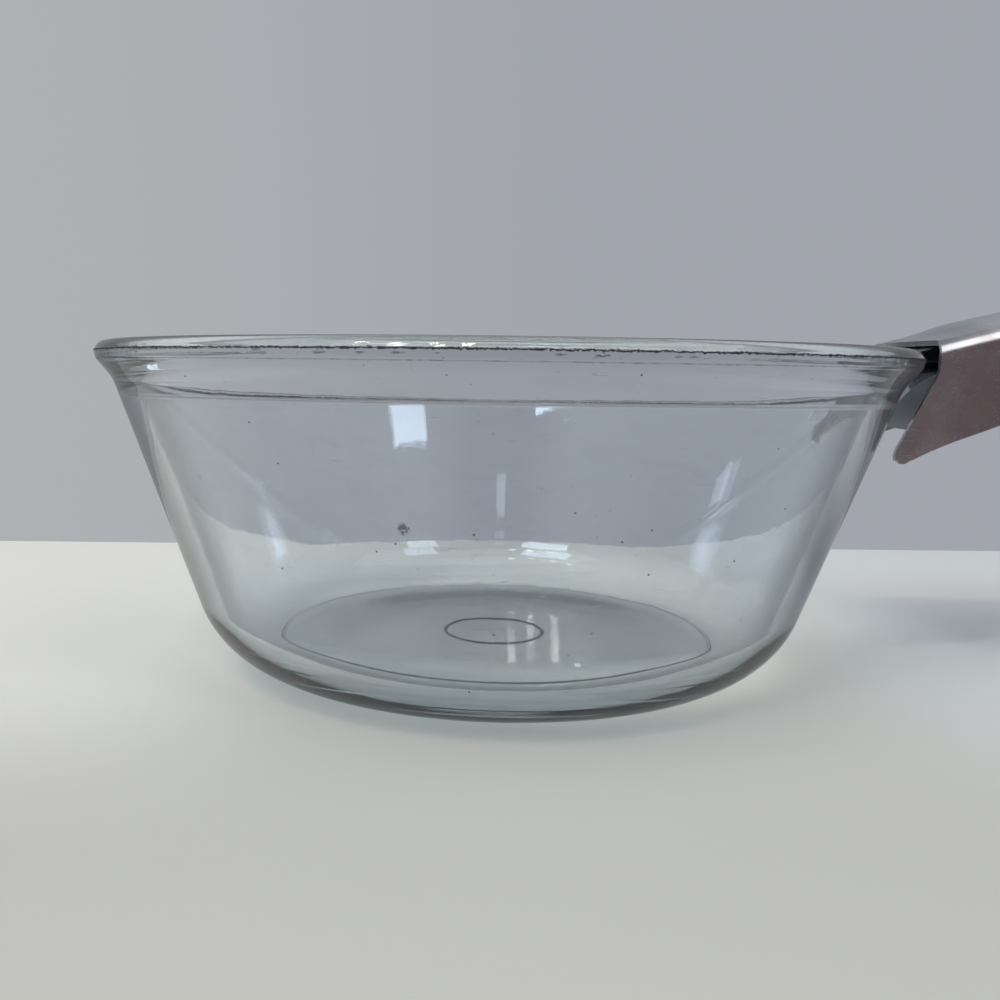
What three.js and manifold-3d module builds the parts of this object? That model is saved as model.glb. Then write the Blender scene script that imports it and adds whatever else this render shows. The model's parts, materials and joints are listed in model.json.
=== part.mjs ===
// A pressed glass saucepan with a detachable sheet-steel handle.
// Millimetres, +Z up. The origin is the centre of the pan's underside, and the handle points along +X.
import * as THREE from 'three';
import { mergeVertices } from 'three/addons/utils/BufferGeometryUtils.js';
import Module from 'manifold-3d';

const wasm = await Module();
wasm.setup();

// Pan: height, rim and wall
const PAN_HEIGHT = 73.8;
const RIM_RADIUS = 92;
const SEAM_HEIGHT = 71.7; // the mould seam runs round the widest part of the rim
const SEAM_STEP = 0.3;
const BAND_FOOT = 69.9; // an upright band runs round the rim from here up to the seam
const BAND_DRAFT = 0.4;
const BEAD_FOOT = 64.8; // where the wall starts to swell into the rim bead
const BEAD_PULL = 1.6; // reach of the bead's curve from each of its ends
const BEAD_SLANT = 0.75; // outward travel of the bead for each millimetre of height, under the band
const RIM_CREST_RADIUS = 88.6;
const RIM_PULL = 1.2;
const RIM_INNER_DROP = 2.2; // depth of the round inner edge of the rim
const WALL_FOOT_RADIUS = 65.2; // where the line of the outer wall would meet the table
const WALL_FLARE = 0.351; // outward travel of the wall for each millimetre of height
const WALL_THICKNESS = 4.5;
const FLOOR_THICKNESS = 5.6;
const HEEL_RADIUS = 22.8;
const INNER_HEEL_RADIUS = 18;
const COLLAR_RADIUS = 84; // inside the rim, above the ledge that carries a lid
const COLLAR_DRAFT = 1.6;
const LEDGE_HEIGHT = 63.7;
const LEDGE_ROUND = 0.2; // in the corner under the collar
const LEDGE_EDGE = 0.2; // round edge between the ledge and the wall
const FLOOR_RING_RADIUS = 51.7; // mould rings in the floor: one where the heel starts to rise
const MOULD_RING_RADIUS = 12; // and one round the middle
const MOULD_RING_WIDTH = 0.9;
const MOULD_RING_HEIGHT = 0.3;
const ROUND_STEPS = 64;
const PROFILE_STEPS = 4; // points on each curve of the pan's profile

// Lug: the glass tongue that the handle grips
const RISE = 0.26; // slope of the lug and of the front of the handle
const LUG_TOP_AT_MOUTH = 74.5;
const LUG_UNDER_AT_MOUTH = 68.8;
const LUG_END = 111.6;
const LUG_HALF_WIDTH = 14.5;
const LUG_ROOT = 87.1; // where the top of the lug starts, inside the glass of the rim
const LUG_ROOT_HALF_WIDTH = 18.5;
const LUG_NECK = 86.5; // the flare of the root eases off here in plan
const LUG_SHOULDER = 93; // and from here on the sides are parallel
const LUG_CORNER = 3;
const LUG_END_ROUND = 1.5;
const LUG_FOOT = 56.3; // height at which the gusset under the lug runs out into the wall
const GUSSET_START = 99.1;
const GUSSET_CORNER = new THREE.Vector2(89.9, 67.9);
const GUSSET_SINK = 2.4; // how far the gusset's foot reaches into the wall

// Handle shell: an inverted channel of folded sheet
const SHEET = 1.2;
const MOUTH = 94.6; // front edge of the top plate
const TOP_AT_MOUTH = 76.3; // height of the folds along the top
const TOP_BEND = 0.00064; // how fast the slope of the top eases off along the handle
const MOUTH_HALF_WIDTH = 20;
const WAIST_HALF_WIDTH = 13.2;
const END_HALF_WIDTH = 14.5;
const WIDTH_TAPER = [90.6, 148.6]; // the mouth narrows to the waist over this stretch
const END_SWELL = [158.6, 213.6]; // and the grip fills out again over this one
const MOUTH_DEPTH = 23.6;
const GRIP_DEPTH = 14.4;
const DEPTH_TAPER = [84, 172];
const WING_DROP = 3.2; // the lower edge sweeps down by this much towards the tips of the wings
const WING_SWEEP = [84, 101]; // over this stretch
const WING_TOP = 70.3; // the front edge is upright above this height
const WING_SLANT = new THREE.Vector2(93.4, 66.9); // and slants back towards the pan from here
const WING_TIP_START = new THREE.Vector2(86.5, 52.5);
const WING_TIP_CORNER = new THREE.Vector2(85.2, 49.1);
const WING_TIP_END = 88.5;
const FOLD_RADIUS = 2.4;
const FOLD_STEPS = 5;
const MOST_FOLD = 0.9; // share of the half width that a fold may take where the end narrows
const CROWNS = [0.1, 1.9]; // the top plate is flat at the mouth and soon arched between its folds
const CROWN_RUN = 12;
const CROWN_STEPS = 3;
const END_CENTRE = 222.6; // centre of the rounded end and of its hanging hole
const HANG_HOLE_RADIUS = 4.5;
const LIP = 3; // width of the edge turned in along the grip
const LIP_START = 128.6;

// Clamp lever: the sprung lower jaw
const PIVOT = new THREE.Vector2(118.6, 71.3);
const LEVER_END = 172.6;
const LEVER_TAIL_HALF_WIDTH = 8.5;
const LEVER_FOLD_RADIUS = 3;
const LEVER_PINCH = [120.6, 136.6]; // the cheeks draw together over this stretch
const APRON_FOOT = new THREE.Vector2(90.2, 56.3);
const APRON_TOP = new THREE.Vector2(95.8, 68.5);
const NOSE_PLAY = 0.45; // clearance under the lug
const CHEEK_START = 113.1; // behind the lug the cheeks rise to the boss round the pin
const BOSS_RADIUS = 5.5;
const BOSS_SWEEP = [2.6, 0.9]; // radians
const JAW_LIFT = 6.2; // the jaw's underside is this far above the shell's edge
const TAB_DROP = 5.5; // and the finger tab's this far below it
const TAB_START = 140.6;
const TAB_LOW = 156.6;
const TAB_TIP_LIFT = 4;
const CHEEK_HEIGHTS = [4, 3]; // of the flanges along the tab, at its start and at its lowest point

// Pins and spring
const GAP = 0.3; // clearance between neighbours
const HOLE_REACH = 4.5; // of the cutters for the holes in the top plate, up and down
const PIN_STEPS = 20; // facets round pins and holes
const HEAD_STEPS = 4; // and over the dome of a head
const PIN_RADIUS = 2;
const PIN_HEAD_RADIUS = 4.2;
const PIN_HEAD_HEIGHT = 1.7;
const HEAD_EDGE = 0.6; // how far the dome of a rivet head falls before its edge turns down
const SLEEVE_RADIUS = 3.5;
const RIVET_AT = 154.6;
const RIVET_RADIUS = 1.4;
const RIVET_HEAD_RADIUS = 3.2;
const RIVET_HEAD_HEIGHT = 1.3;
const RIVET_TAIL_RADIUS = 2.4;
const RIVET_TAIL_HEIGHT = 0.9;
const SPRING_THICKNESS = 0.6;
const SPRING_WIDTH = 8;
const SPRING_DROP = 0.65; // from the underside of the top plate to the top of the spring
const SPRING_START = 162.6;
const SPRING_BEND = 149.6;
const SPRING_SWEEP = [143.6, 140.6]; // the middle of the spring curves down past these two places
const SPRING_EASE = 1.5; // how soon it leaves the plate and how softly it meets the lever
const SPRING_TOUCH = 133.6;
const SPRING_TIP = 130.1;
const SPRING_TIP_LIFT = 1;

// Limits that reach past every piece, for profiles that are only cutters
const FAR_LOW = 38;
const FAR_HIGH = 125;
const FAR_FRONT = 82;
const FAR_BACK = 246;
const FAR_SIDE = 30;

const { smoothstep, lerp, clamp } = THREE.MathUtils;

// Turn a closed geometry into a solid that can be cut and joined
function solid(geometry) {
  const bare = geometry.clone();
  bare.deleteAttribute('normal');
  bare.deleteAttribute('uv');
  const merged = mergeVertices(bare, 1e-4);
  const index = merged.index.array;
  const triangles = [];
  for (let i = 0; i < index.length; i += 3) {
    const [a, b, c] = index.slice(i, i + 3);
    if (a !== b && b !== c && c !== a) triangles.push(a, b, c);
  }
  const vertProperties = merged.attributes.position.array;
  const triVerts = new Uint32Array(triangles);
  return new wasm.Manifold(new wasm.Mesh({ numProp: 3, vertProperties, triVerts }));
}

function piece(name, shape, material) {
  const { vertProperties, triVerts } = shape.getMesh();
  const geometry = new THREE.BufferGeometry();
  geometry.setAttribute('position', new THREE.BufferAttribute(vertProperties, 3));
  geometry.setIndex(new THREE.BufferAttribute(triVerts, 1));
  const facets = geometry.toNonIndexed();
  facets.computeVertexNormals();
  const mesh = new THREE.Mesh(facets, material);
  mesh.name = name;
  return mesh;
}

// A profile turned round the Z axis
function turned(path, curveSteps, roundSteps) {
  return solid(new THREE.LatheGeometry(path.getPoints(curveSteps), roundSteps).rotateX(Math.PI / 2));
}

// A side view, drawn in X and Z, as a slab across Y
function slab(shape, halfWidth, curveSteps = 6) {
  const settings = { depth: 2 * halfWidth, bevelEnabled: false, curveSegments: curveSteps };
  return solid(new THREE.ExtrudeGeometry(shape, settings).rotateX(Math.PI / 2).translate(0, halfWidth, 0));
}

// A plan, drawn in X and Y, as a block between two heights
function block(shape, low, high, curveSteps = 6) {
  const settings = { depth: high - low, bevelEnabled: false, curveSegments: curveSteps };
  return solid(new THREE.ExtrudeGeometry(shape, settings).translate(0, 0, low));
}

// A round bar across the handle
function crossBar(radius, halfLength) {
  const bar = new THREE.CylinderGeometry(radius, radius, 2 * halfLength, PIN_STEPS);
  return solid(bar.translate(PIVOT.x, 0, PIVOT.y));
}

// A skin through rings of points that run anticlockwise seen from +X, closed at both ends
function loft(rings) {
  const count = rings[0].length;
  const positions = rings.flat().flatMap((point) => point.toArray());
  const index = [];
  for (let i = 0; i + 1 < rings.length; i += 1) {
    for (let j = 0; j < count; j += 1) {
      const next = (j + 1) % count;
      const here = i * count;
      const ahead = here + count;
      index.push(here + j, here + next, ahead + next, here + j, ahead + next, ahead + j);
    }
  }
  const last = (rings.length - 1) * count;
  const outline = rings[0].map((point) => new THREE.Vector2(point.y, point.z));
  for (const [a, b, c] of THREE.ShapeUtils.triangulateShape(outline, [])) {
    index.push(a, c, b, last + a, last + b, last + c);
  }
  const geometry = new THREE.BufferGeometry();
  geometry.setAttribute('position', new THREE.Float32BufferAttribute(positions, 3));
  geometry.setIndex(index);
  return solid(geometry);
}

// Pan

const WALL_LEAN = Math.atan(WALL_FLARE);
const outerWall = (z) => WALL_FOOT_RADIUS + WALL_FLARE * z;
const innerWall = (z) => outerWall(z) - WALL_THICKNESS / Math.cos(WALL_LEAN);

// Centre of the arc that runs from a level floor into a leaning wall
function heelCentre(radius, floor, wall) {
  const meeting = floor + radius * (1 - Math.sin(WALL_LEAN));
  return new THREE.Vector2(wall(meeting) - radius * Math.cos(WALL_LEAN), floor + radius);
}

// A low ridge that the mould leaves in the floor, drawn from its outer edge inwards
function ridge(path, radius, floor) {
  const edge = MOULD_RING_WIDTH / 2;
  const top = MOULD_RING_WIDTH / 5;
  path.lineTo(radius + edge, floor);
  path.lineTo(radius + top, floor + MOULD_RING_HEIGHT);
  path.lineTo(radius - top, floor + MOULD_RING_HEIGHT);
  path.lineTo(radius - edge, floor);
}

// Outside of the rim: the bead swells out of the wall to the upright band, the seam and the round crest
function rimOutside(path) {
  const beadLow = BEAD_FOOT + BEAD_PULL;
  const band = RIM_RADIUS - BAND_DRAFT;
  const beadHigh = new THREE.Vector2(band - BEAD_SLANT * BEAD_PULL, BAND_FOOT - BEAD_PULL);
  path.lineTo(outerWall(BEAD_FOOT), BEAD_FOOT);
  path.bezierCurveTo(outerWall(beadLow), beadLow, beadHigh.x, beadHigh.y, band, BAND_FOOT);
  path.lineTo(RIM_RADIUS, SEAM_HEIGHT);
  const edge = RIM_RADIUS - SEAM_STEP;
  const edgeLow = SEAM_HEIGHT + SEAM_STEP;
  path.lineTo(edge, edgeLow);
  const crest = RIM_CREST_RADIUS;
  path.bezierCurveTo(edge, edgeLow + RIM_PULL, crest + RIM_PULL, PAN_HEIGHT, crest, PAN_HEIGHT);
}

// Inside of the rim: the collar that a lid stands in, and the ledge that carries it
function rimInside(path) {
  const collarTop = COLLAR_RADIUS + COLLAR_DRAFT;
  const ledgeLow = LEDGE_HEIGHT - LEDGE_EDGE;
  const corner = innerWall(LEDGE_HEIGHT);
  path.quadraticCurveTo(collarTop, PAN_HEIGHT, collarTop, PAN_HEIGHT - RIM_INNER_DROP);
  path.lineTo(COLLAR_RADIUS, LEDGE_HEIGHT + LEDGE_ROUND);
  path.quadraticCurveTo(COLLAR_RADIUS, LEDGE_HEIGHT, COLLAR_RADIUS - LEDGE_ROUND, LEDGE_HEIGHT);
  path.lineTo(corner + LEDGE_EDGE, LEDGE_HEIGHT);
  path.quadraticCurveTo(corner, LEDGE_HEIGHT, innerWall(ledgeLow), ledgeLow);
}

function panProfile() {
  const heel = heelCentre(HEEL_RADIUS, 0, outerWall);
  const inner = heelCentre(INNER_HEEL_RADIUS, FLOOR_THICKNESS, innerWall);
  const ringStart = FLOOR_RING_RADIUS + MOULD_RING_WIDTH / 2;
  const heelEnd = -Math.acos((ringStart - inner.x) / INNER_HEEL_RADIUS);
  const path = new THREE.Path();
  path.moveTo(0, 0);
  path.lineTo(heel.x, 0);
  path.absarc(heel.x, heel.y, HEEL_RADIUS, -Math.PI / 2, -WALL_LEAN, false);
  rimOutside(path);
  rimInside(path);
  path.absarc(inner.x, inner.y, INNER_HEEL_RADIUS, -WALL_LEAN, heelEnd, true);
  ridge(path, FLOOR_RING_RADIUS, inner.y + INNER_HEEL_RADIUS * Math.sin(heelEnd));
  path.lineTo(inner.x, FLOOR_THICKNESS);
  ridge(path, MOULD_RING_RADIUS, FLOOR_THICKNESS);
  path.lineTo(0, FLOOR_THICKNESS);
  return path;
}

const lugTop = (x) => LUG_TOP_AT_MOUTH + RISE * (x - MOUTH);
const lugUnder = (x) => LUG_UNDER_AT_MOUTH + RISE * (x - MOUTH);

function lugSolid() {
  const roundStart = LUG_END - LUG_END_ROUND;
  const footRadius = outerWall(LUG_FOOT);
  const side = new THREE.Shape();
  side.moveTo(LUG_ROOT, lugTop(LUG_ROOT));
  side.lineTo(roundStart, lugTop(roundStart));
  side.quadraticCurveTo(LUG_END, lugTop(LUG_END), LUG_END, lugTop(LUG_END) - LUG_END_ROUND);
  side.lineTo(LUG_END, lugUnder(LUG_END) + LUG_END_ROUND);
  side.quadraticCurveTo(LUG_END, lugUnder(LUG_END), roundStart, lugUnder(roundStart));
  side.lineTo(GUSSET_START, lugUnder(GUSSET_START));
  side.quadraticCurveTo(GUSSET_CORNER.x, GUSSET_CORNER.y, footRadius - GUSSET_SINK / 3, LUG_FOOT);
  side.lineTo(footRadius - GUSSET_SINK, LUG_FOOT);
  const cornerStart = LUG_END - LUG_CORNER;
  const cornerSide = LUG_HALF_WIDTH - LUG_CORNER;
  const plan = new THREE.Shape();
  plan.moveTo(FAR_FRONT, -LUG_ROOT_HALF_WIDTH);
  plan.quadraticCurveTo(LUG_NECK, -LUG_HALF_WIDTH, LUG_SHOULDER, -LUG_HALF_WIDTH);
  plan.lineTo(cornerStart, -LUG_HALF_WIDTH);
  plan.quadraticCurveTo(LUG_END, -LUG_HALF_WIDTH, LUG_END, -cornerSide);
  plan.lineTo(LUG_END, cornerSide);
  plan.quadraticCurveTo(LUG_END, LUG_HALF_WIDTH, cornerStart, LUG_HALF_WIDTH);
  plan.lineTo(LUG_SHOULDER, LUG_HALF_WIDTH);
  plan.quadraticCurveTo(LUG_NECK, LUG_HALF_WIDTH, FAR_FRONT, LUG_ROOT_HALF_WIDTH);
  return slab(side, FAR_SIDE, 8).intersect(block(plan, FAR_LOW, FAR_HIGH));
}

const glassPan = () => turned(panProfile(), PROFILE_STEPS, ROUND_STEPS).add(lugSolid());

// Handle shell

const topSlope = (x) => RISE - 2 * TOP_BEND * (x - MOUTH);
const topHeight = (x) => TOP_AT_MOUTH + RISE * (x - MOUTH) - TOP_BEND * (x - MOUTH) ** 2;
const crownHeight = (x) => lerp(...CROWNS, smoothstep(x, MOUTH, MOUTH + CROWN_RUN));
const middleHeight = (x) => topHeight(x) + crownHeight(x);

// Depth of the walls: they narrow evenly from mouth to grip, and sweep down to the wings at the front
function shellDepth(x) {
  const [tip, eased] = WING_SWEEP;
  const sweep = clamp((eased - x) / (eased - tip), 0, 1);
  return lerp(MOUTH_DEPTH, GRIP_DEPTH, smoothstep(x, ...DEPTH_TAPER)) + WING_DROP * sweep ** 2;
}

const lowerEdge = (x) => topHeight(x) - shellDepth(x);

// Half the width of the channel, from the wide mouth through the waist to the fuller end
function shellHalfWidth(x) {
  const toWaist = lerp(MOUTH_HALF_WIDTH, WAIST_HALF_WIDTH, smoothstep(x, ...WIDTH_TAPER));
  return toWaist + (END_HALF_WIDTH - WAIST_HALF_WIDTH) * smoothstep(x, ...END_SWELL);
}

// One ring of the channel set in by a distance: up one wall, round the fold, over the crown and down
function channelRing(x, inset) {
  const past = Math.max(0, x - END_CENTRE);
  const endRadius = END_HALF_WIDTH - inset;
  const half = past > 0 ? Math.sqrt(endRadius ** 2 - past ** 2) : shellHalfWidth(x) - inset;
  const round = Math.max(FOLD_RADIUS - inset, 1);
  const overEnd = Math.max(0, past - (endRadius - round));
  const top = topHeight(x) - inset - (round - Math.sqrt(round ** 2 - overEnd ** 2));
  const fold = Math.min(round, MOST_FOLD * half);
  const crown = crownHeight(x) * Math.min(1, half / WAIST_HALF_WIDTH);
  const ring = [new THREE.Vector3(x, half, FAR_LOW)];
  for (let i = 0; i <= FOLD_STEPS; i += 1) {
    const turn = ((i / FOLD_STEPS) * Math.PI) / 2;
    const y = half - fold * (1 - Math.cos(turn));
    ring.push(new THREE.Vector3(x, y, top - fold * (1 - Math.sin(turn))));
  }
  for (let i = CROWN_STEPS - 1; i > 0; i -= 1) {
    const share = i / CROWN_STEPS;
    ring.push(new THREE.Vector3(x, share * (half - fold), top + crown * (1 - share ** 2)));
  }
  const mirrored = ring.map((point) => new THREE.Vector3(x, -point.y, point.z)).reverse();
  return [...ring, new THREE.Vector3(x, 0, top + crown), ...mirrored];
}

function channel(inset, start) {
  const BODY_STEPS = 20;
  const END_STEPS = 7;
  const END_SWEEP = 1.54; // radians, just short of a quarter turn, so that the last ring has a width
  const rings = [];
  for (let i = 0; i <= BODY_STEPS; i += 1) {
    rings.push(channelRing(lerp(start, END_CENTRE, i / BODY_STEPS), inset));
  }
  for (let i = 1; i <= END_STEPS; i += 1) {
    const x = END_CENTRE + (END_HALF_WIDTH - inset) * Math.sin((END_SWEEP * i) / END_STEPS);
    rings.push(channelRing(x, inset));
  }
  return loft(rings);
}

function followLowerEdge(shape, from, to, lift) {
  const STEP = 6;
  const count = Math.ceil((to - from) / STEP);
  for (let i = 0; i <= count; i += 1) {
    const x = lerp(from, to, i / count);
    shape.lineTo(x, lowerEdge(x) + lift);
  }
}

// Side view of the shell: straight front of the top plate, slanted wings with a rounded tip, lower edge
function shellOutline() {
  const shape = new THREE.Shape();
  shape.moveTo(MOUTH, FAR_HIGH);
  shape.lineTo(MOUTH, WING_TOP);
  shape.quadraticCurveTo(MOUTH, (WING_TOP + WING_SLANT.y) / 2, WING_SLANT.x, WING_SLANT.y);
  shape.lineTo(WING_TIP_START.x, WING_TIP_START.y);
  shape.quadraticCurveTo(WING_TIP_CORNER.x, WING_TIP_CORNER.y, WING_TIP_END, lowerEdge(WING_TIP_END));
  followLowerEdge(shape, WING_TIP_END + 1, FAR_BACK, 0);
  shape.lineTo(FAR_BACK, FAR_HIGH);
  return shape;
}

// Side view of the hollow: open below at the mouth, one sheet above the lower edge along the grip
function hollowOutline() {
  const shape = new THREE.Shape();
  shape.moveTo(FAR_FRONT - 1, FAR_HIGH);
  shape.lineTo(FAR_FRONT - 1, FAR_LOW - 1);
  shape.lineTo(LIP_START, FAR_LOW - 1);
  followLowerEdge(shape, LIP_START, FAR_BACK, SHEET);
  shape.lineTo(FAR_BACK, FAR_HIGH);
  return shape;
}

// A round cutter that stands square to the top plate and reaches a little past both its faces
function plateHole(x, radius) {
  const bar = new THREE.CylinderGeometry(radius, radius, 2 * HOLE_REACH, PIN_STEPS).rotateX(Math.PI / 2);
  return solid(bar.rotateY(-Math.atan(topSlope(x))).translate(x, 0, middleHeight(x)));
}

function handleShell() {
  const hollow = channel(SHEET, FAR_FRONT - 1).intersect(slab(hollowOutline(), FAR_SIDE));
  const slot = channel(SHEET + LIP, LIP_START);
  return channel(0, FAR_FRONT)
    .intersect(slab(shellOutline(), FAR_SIDE))
    .subtract(hollow)
    .subtract(slot)
    .subtract(crossBar(PIN_RADIUS + GAP, FAR_SIDE))
    .subtract(plateHole(END_CENTRE, HANG_HOLE_RADIUS))
    .subtract(plateHole(RIVET_AT, RIVET_RADIUS + GAP));
}

// Clamp lever

// Underside of the lever: above the shell's edge at the jaw, then a finger tab hanging below it
function leverFloor(x) {
  const lift = lerp(JAW_LIFT, -TAB_DROP, smoothstep(x, APRON_FOOT.x, TAB_LOW));
  return lowerEdge(x) + lift + TAB_TIP_LIFT * smoothstep(x, TAB_LOW, LEVER_END);
}

function leverHalfWidth(x) {
  const SIDE_PLAY = 0.8;
  const beside = shellHalfWidth(x) - SHEET - SIDE_PLAY;
  return lerp(beside, LEVER_TAIL_HALF_WIDTH, smoothstep(x, ...LEVER_PINCH));
}

function trayRing(x, inset) {
  const half = leverHalfWidth(x) - inset;
  const fold = LEVER_FOLD_RADIUS - inset;
  const floor = leverFloor(x) + inset;
  const side = [];
  for (let i = 0; i <= FOLD_STEPS; i += 1) {
    const turn = ((i / FOLD_STEPS) * Math.PI) / 2;
    side.push(new THREE.Vector3(x, half - fold * (1 - Math.sin(turn)), floor + fold * (1 - Math.cos(turn))));
  }
  side.push(new THREE.Vector3(x, half, FAR_HIGH));
  const mirrored = side.map((point) => new THREE.Vector3(x, -point.y, point.z)).reverse();
  return [...side, ...mirrored];
}

function tray(inset) {
  const STEPS = 18;
  const START = 90;
  const rings = [];
  for (let i = 0; i <= STEPS; i += 1) {
    rings.push(trayRing(lerp(START, LEVER_END + inset, i / STEPS), inset));
  }
  return loft(rings);
}

// Side view of the lever: slanted apron, nose under the lug, boss round the pin, low flanges on the tab
function leverOutline() {
  const [tall, low] = CHEEK_HEIGHTS;
  const waist = (LEVER_PINCH[0] + LEVER_PINCH[1]) / 2;
  const tip = (TAB_LOW + LEVER_END) / 2;
  const shape = new THREE.Shape();
  shape.moveTo(APRON_FOOT.x, FAR_LOW - 1);
  shape.lineTo(APRON_FOOT.x, APRON_FOOT.y);
  shape.lineTo(APRON_TOP.x, APRON_TOP.y);
  shape.lineTo(CHEEK_START, lugUnder(CHEEK_START) - NOSE_PLAY);
  shape.absarc(PIVOT.x, PIVOT.y, BOSS_RADIUS, ...BOSS_SWEEP, true);
  shape.quadraticCurveTo(waist, leverFloor(waist) + tall + 1, TAB_START, leverFloor(TAB_START) + tall);
  shape.lineTo(TAB_LOW, leverFloor(TAB_LOW) + low);
  shape.quadraticCurveTo(tip, leverFloor(tip) + low, LEVER_END, leverFloor(LEVER_END) + SHEET);
  shape.lineTo(LEVER_END, FAR_LOW - 1);
  return shape;
}

// Side view of the space inside the lever, one sheet behind the apron
function leverHollowOutline() {
  const lean = (APRON_TOP.x - APRON_FOOT.x) / (APRON_TOP.y - APRON_FOOT.y);
  const behind = SHEET * Math.hypot(1, lean);
  const front = (z) => APRON_FOOT.x + behind + lean * (z - APRON_FOOT.y);
  const shape = new THREE.Shape();
  shape.moveTo(front(FAR_LOW), FAR_LOW);
  shape.lineTo(FAR_BACK, FAR_LOW);
  shape.lineTo(FAR_BACK, FAR_HIGH);
  shape.lineTo(front(FAR_HIGH), FAR_HIGH);
  return shape;
}

function clampLever() {
  const hollow = tray(SHEET).intersect(slab(leverHollowOutline(), FAR_SIDE));
  return tray(0)
    .intersect(slab(leverOutline(), FAR_SIDE))
    .subtract(hollow)
    .subtract(crossBar(PIN_RADIUS + GAP, FAR_SIDE));
}

// Pins and spring

// A round pin along Y with a domed head at each end
function pivotPin() {
  const inside = shellHalfWidth(PIVOT.x - PIN_HEAD_RADIUS) + GAP;
  const outside = inside + PIN_HEAD_HEIGHT;
  const path = new THREE.Path();
  path.moveTo(0, -outside);
  const domeEdge = outside - HEAD_EDGE;
  path.bezierCurveTo(PIN_HEAD_RADIUS / 2, -outside, PIN_HEAD_RADIUS, -domeEdge, PIN_HEAD_RADIUS, -inside);
  path.lineTo(PIN_RADIUS, -inside);
  path.lineTo(PIN_RADIUS, inside);
  path.lineTo(PIN_HEAD_RADIUS, inside);
  path.bezierCurveTo(PIN_HEAD_RADIUS, domeEdge, PIN_HEAD_RADIUS / 2, outside, 0, outside);
  return solid(new THREE.LatheGeometry(path.getPoints(HEAD_STEPS), PIN_STEPS)).translate(PIVOT.x, 0, PIVOT.y);
}

function pivotSleeve() {
  const half = leverHalfWidth(PIVOT.x + SLEEVE_RADIUS) - SHEET - GAP;
  return crossBar(SLEEVE_RADIUS, half).subtract(crossBar(PIN_RADIUS + GAP, FAR_SIDE));
}

// A strip of sheet that follows a path in the side view
function strip(points, thickness, halfWidth) {
  const edge = (side) =>
    points.map((point, i) => {
      const before = points[Math.max(i - 1, 0)];
      const after = points[Math.min(i + 1, points.length - 1)];
      const along = after.clone().sub(before).normalize();
      return new THREE.Vector2(-along.y, along.x).multiplyScalar((side * thickness) / 2).add(point);
    });
  return slab(new THREE.Shape([...edge(1), ...edge(-1).reverse()]), halfWidth);
}

const springSeat = (x) => middleHeight(x) - SHEET - SPRING_DROP - SPRING_THICKNESS / 2;

function leafSpring() {
  const touch = leverFloor(SPRING_TOUCH) + SHEET + GAP + SPRING_THICKNESS / 2;
  const path = new THREE.Path();
  path.moveTo(SPRING_START, springSeat(SPRING_START));
  path.lineTo(SPRING_BEND, springSeat(SPRING_BEND));
  const [high, low] = SPRING_SWEEP;
  const bend = springSeat(SPRING_BEND);
  path.bezierCurveTo(high, bend - SPRING_EASE, low, touch + SPRING_EASE, SPRING_TOUCH, touch);
  path.quadraticCurveTo((SPRING_TOUCH + SPRING_TIP) / 2, touch, SPRING_TIP, touch + SPRING_TIP_LIFT);
  const leaf = strip(path.getPoints(8), SPRING_THICKNESS, SPRING_WIDTH / 2);
  return leaf.subtract(plateHole(RIVET_AT, RIVET_RADIUS + GAP));
}

// The rivet stands square to the top plate
function springRivet() {
  const tailTop = -(SHEET + SPRING_DROP + SPRING_THICKNESS + GAP);
  const tailEnd = tailTop - RIVET_TAIL_HEIGHT;
  const headTop = GAP + RIVET_HEAD_HEIGHT;
  const path = new THREE.Path();
  path.moveTo(0, tailEnd);
  path.lineTo(RIVET_TAIL_RADIUS, tailEnd);
  path.lineTo(RIVET_TAIL_RADIUS, tailTop);
  path.lineTo(RIVET_RADIUS, tailTop);
  path.lineTo(RIVET_RADIUS, GAP);
  path.lineTo(RIVET_HEAD_RADIUS, GAP);
  path.bezierCurveTo(RIVET_HEAD_RADIUS, headTop - HEAD_EDGE, RIVET_HEAD_RADIUS / 2, headTop, 0, headTop);
  return turned(path, HEAD_STEPS, PIN_STEPS);
}

const GLASS = new THREE.MeshStandardMaterial({
  color: 0xb7c1c8,
  roughness: 0.05,
  metalness: 0,
  transparent: true,
  opacity: 0.35,
});
const PLATED_STEEL = new THREE.MeshStandardMaterial({ color: 0xbdbabb, roughness: 0.22, metalness: 1 });
const DULL_STEEL = new THREE.MeshStandardMaterial({ color: 0x6f7375, roughness: 0.45, metalness: 1 });
const SPRING_STEEL = new THREE.MeshStandardMaterial({ color: 0x55585c, roughness: 0.35, metalness: 1 });

const handle = new THREE.Group();
handle.add(piece('handle_shell', handleShell(), PLATED_STEEL));
handle.add(piece('clamp_lever', clampLever(), DULL_STEEL));
handle.add(piece('pivot_pin', pivotPin(), PLATED_STEEL));
handle.add(piece('pivot_sleeve', pivotSleeve(), DULL_STEEL));
handle.add(piece('leaf_spring', leafSpring(), SPRING_STEEL));

const rivet = piece('spring_rivet', springRivet(), PLATED_STEEL);
rivet.position.set(RIVET_AT, 0, middleHeight(RIVET_AT));
rivet.rotation.y = -Math.atan(topSlope(RIVET_AT));
handle.add(rivet);

const saucepan = new THREE.Group();
saucepan.add(piece('glass_bowl', glassPan(), GLASS));
saucepan.add(handle);

export default saucepan;
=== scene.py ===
import json
import math

import bmesh
import bpy
from mathutils import Matrix, Quaternion, Vector, noise


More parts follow.
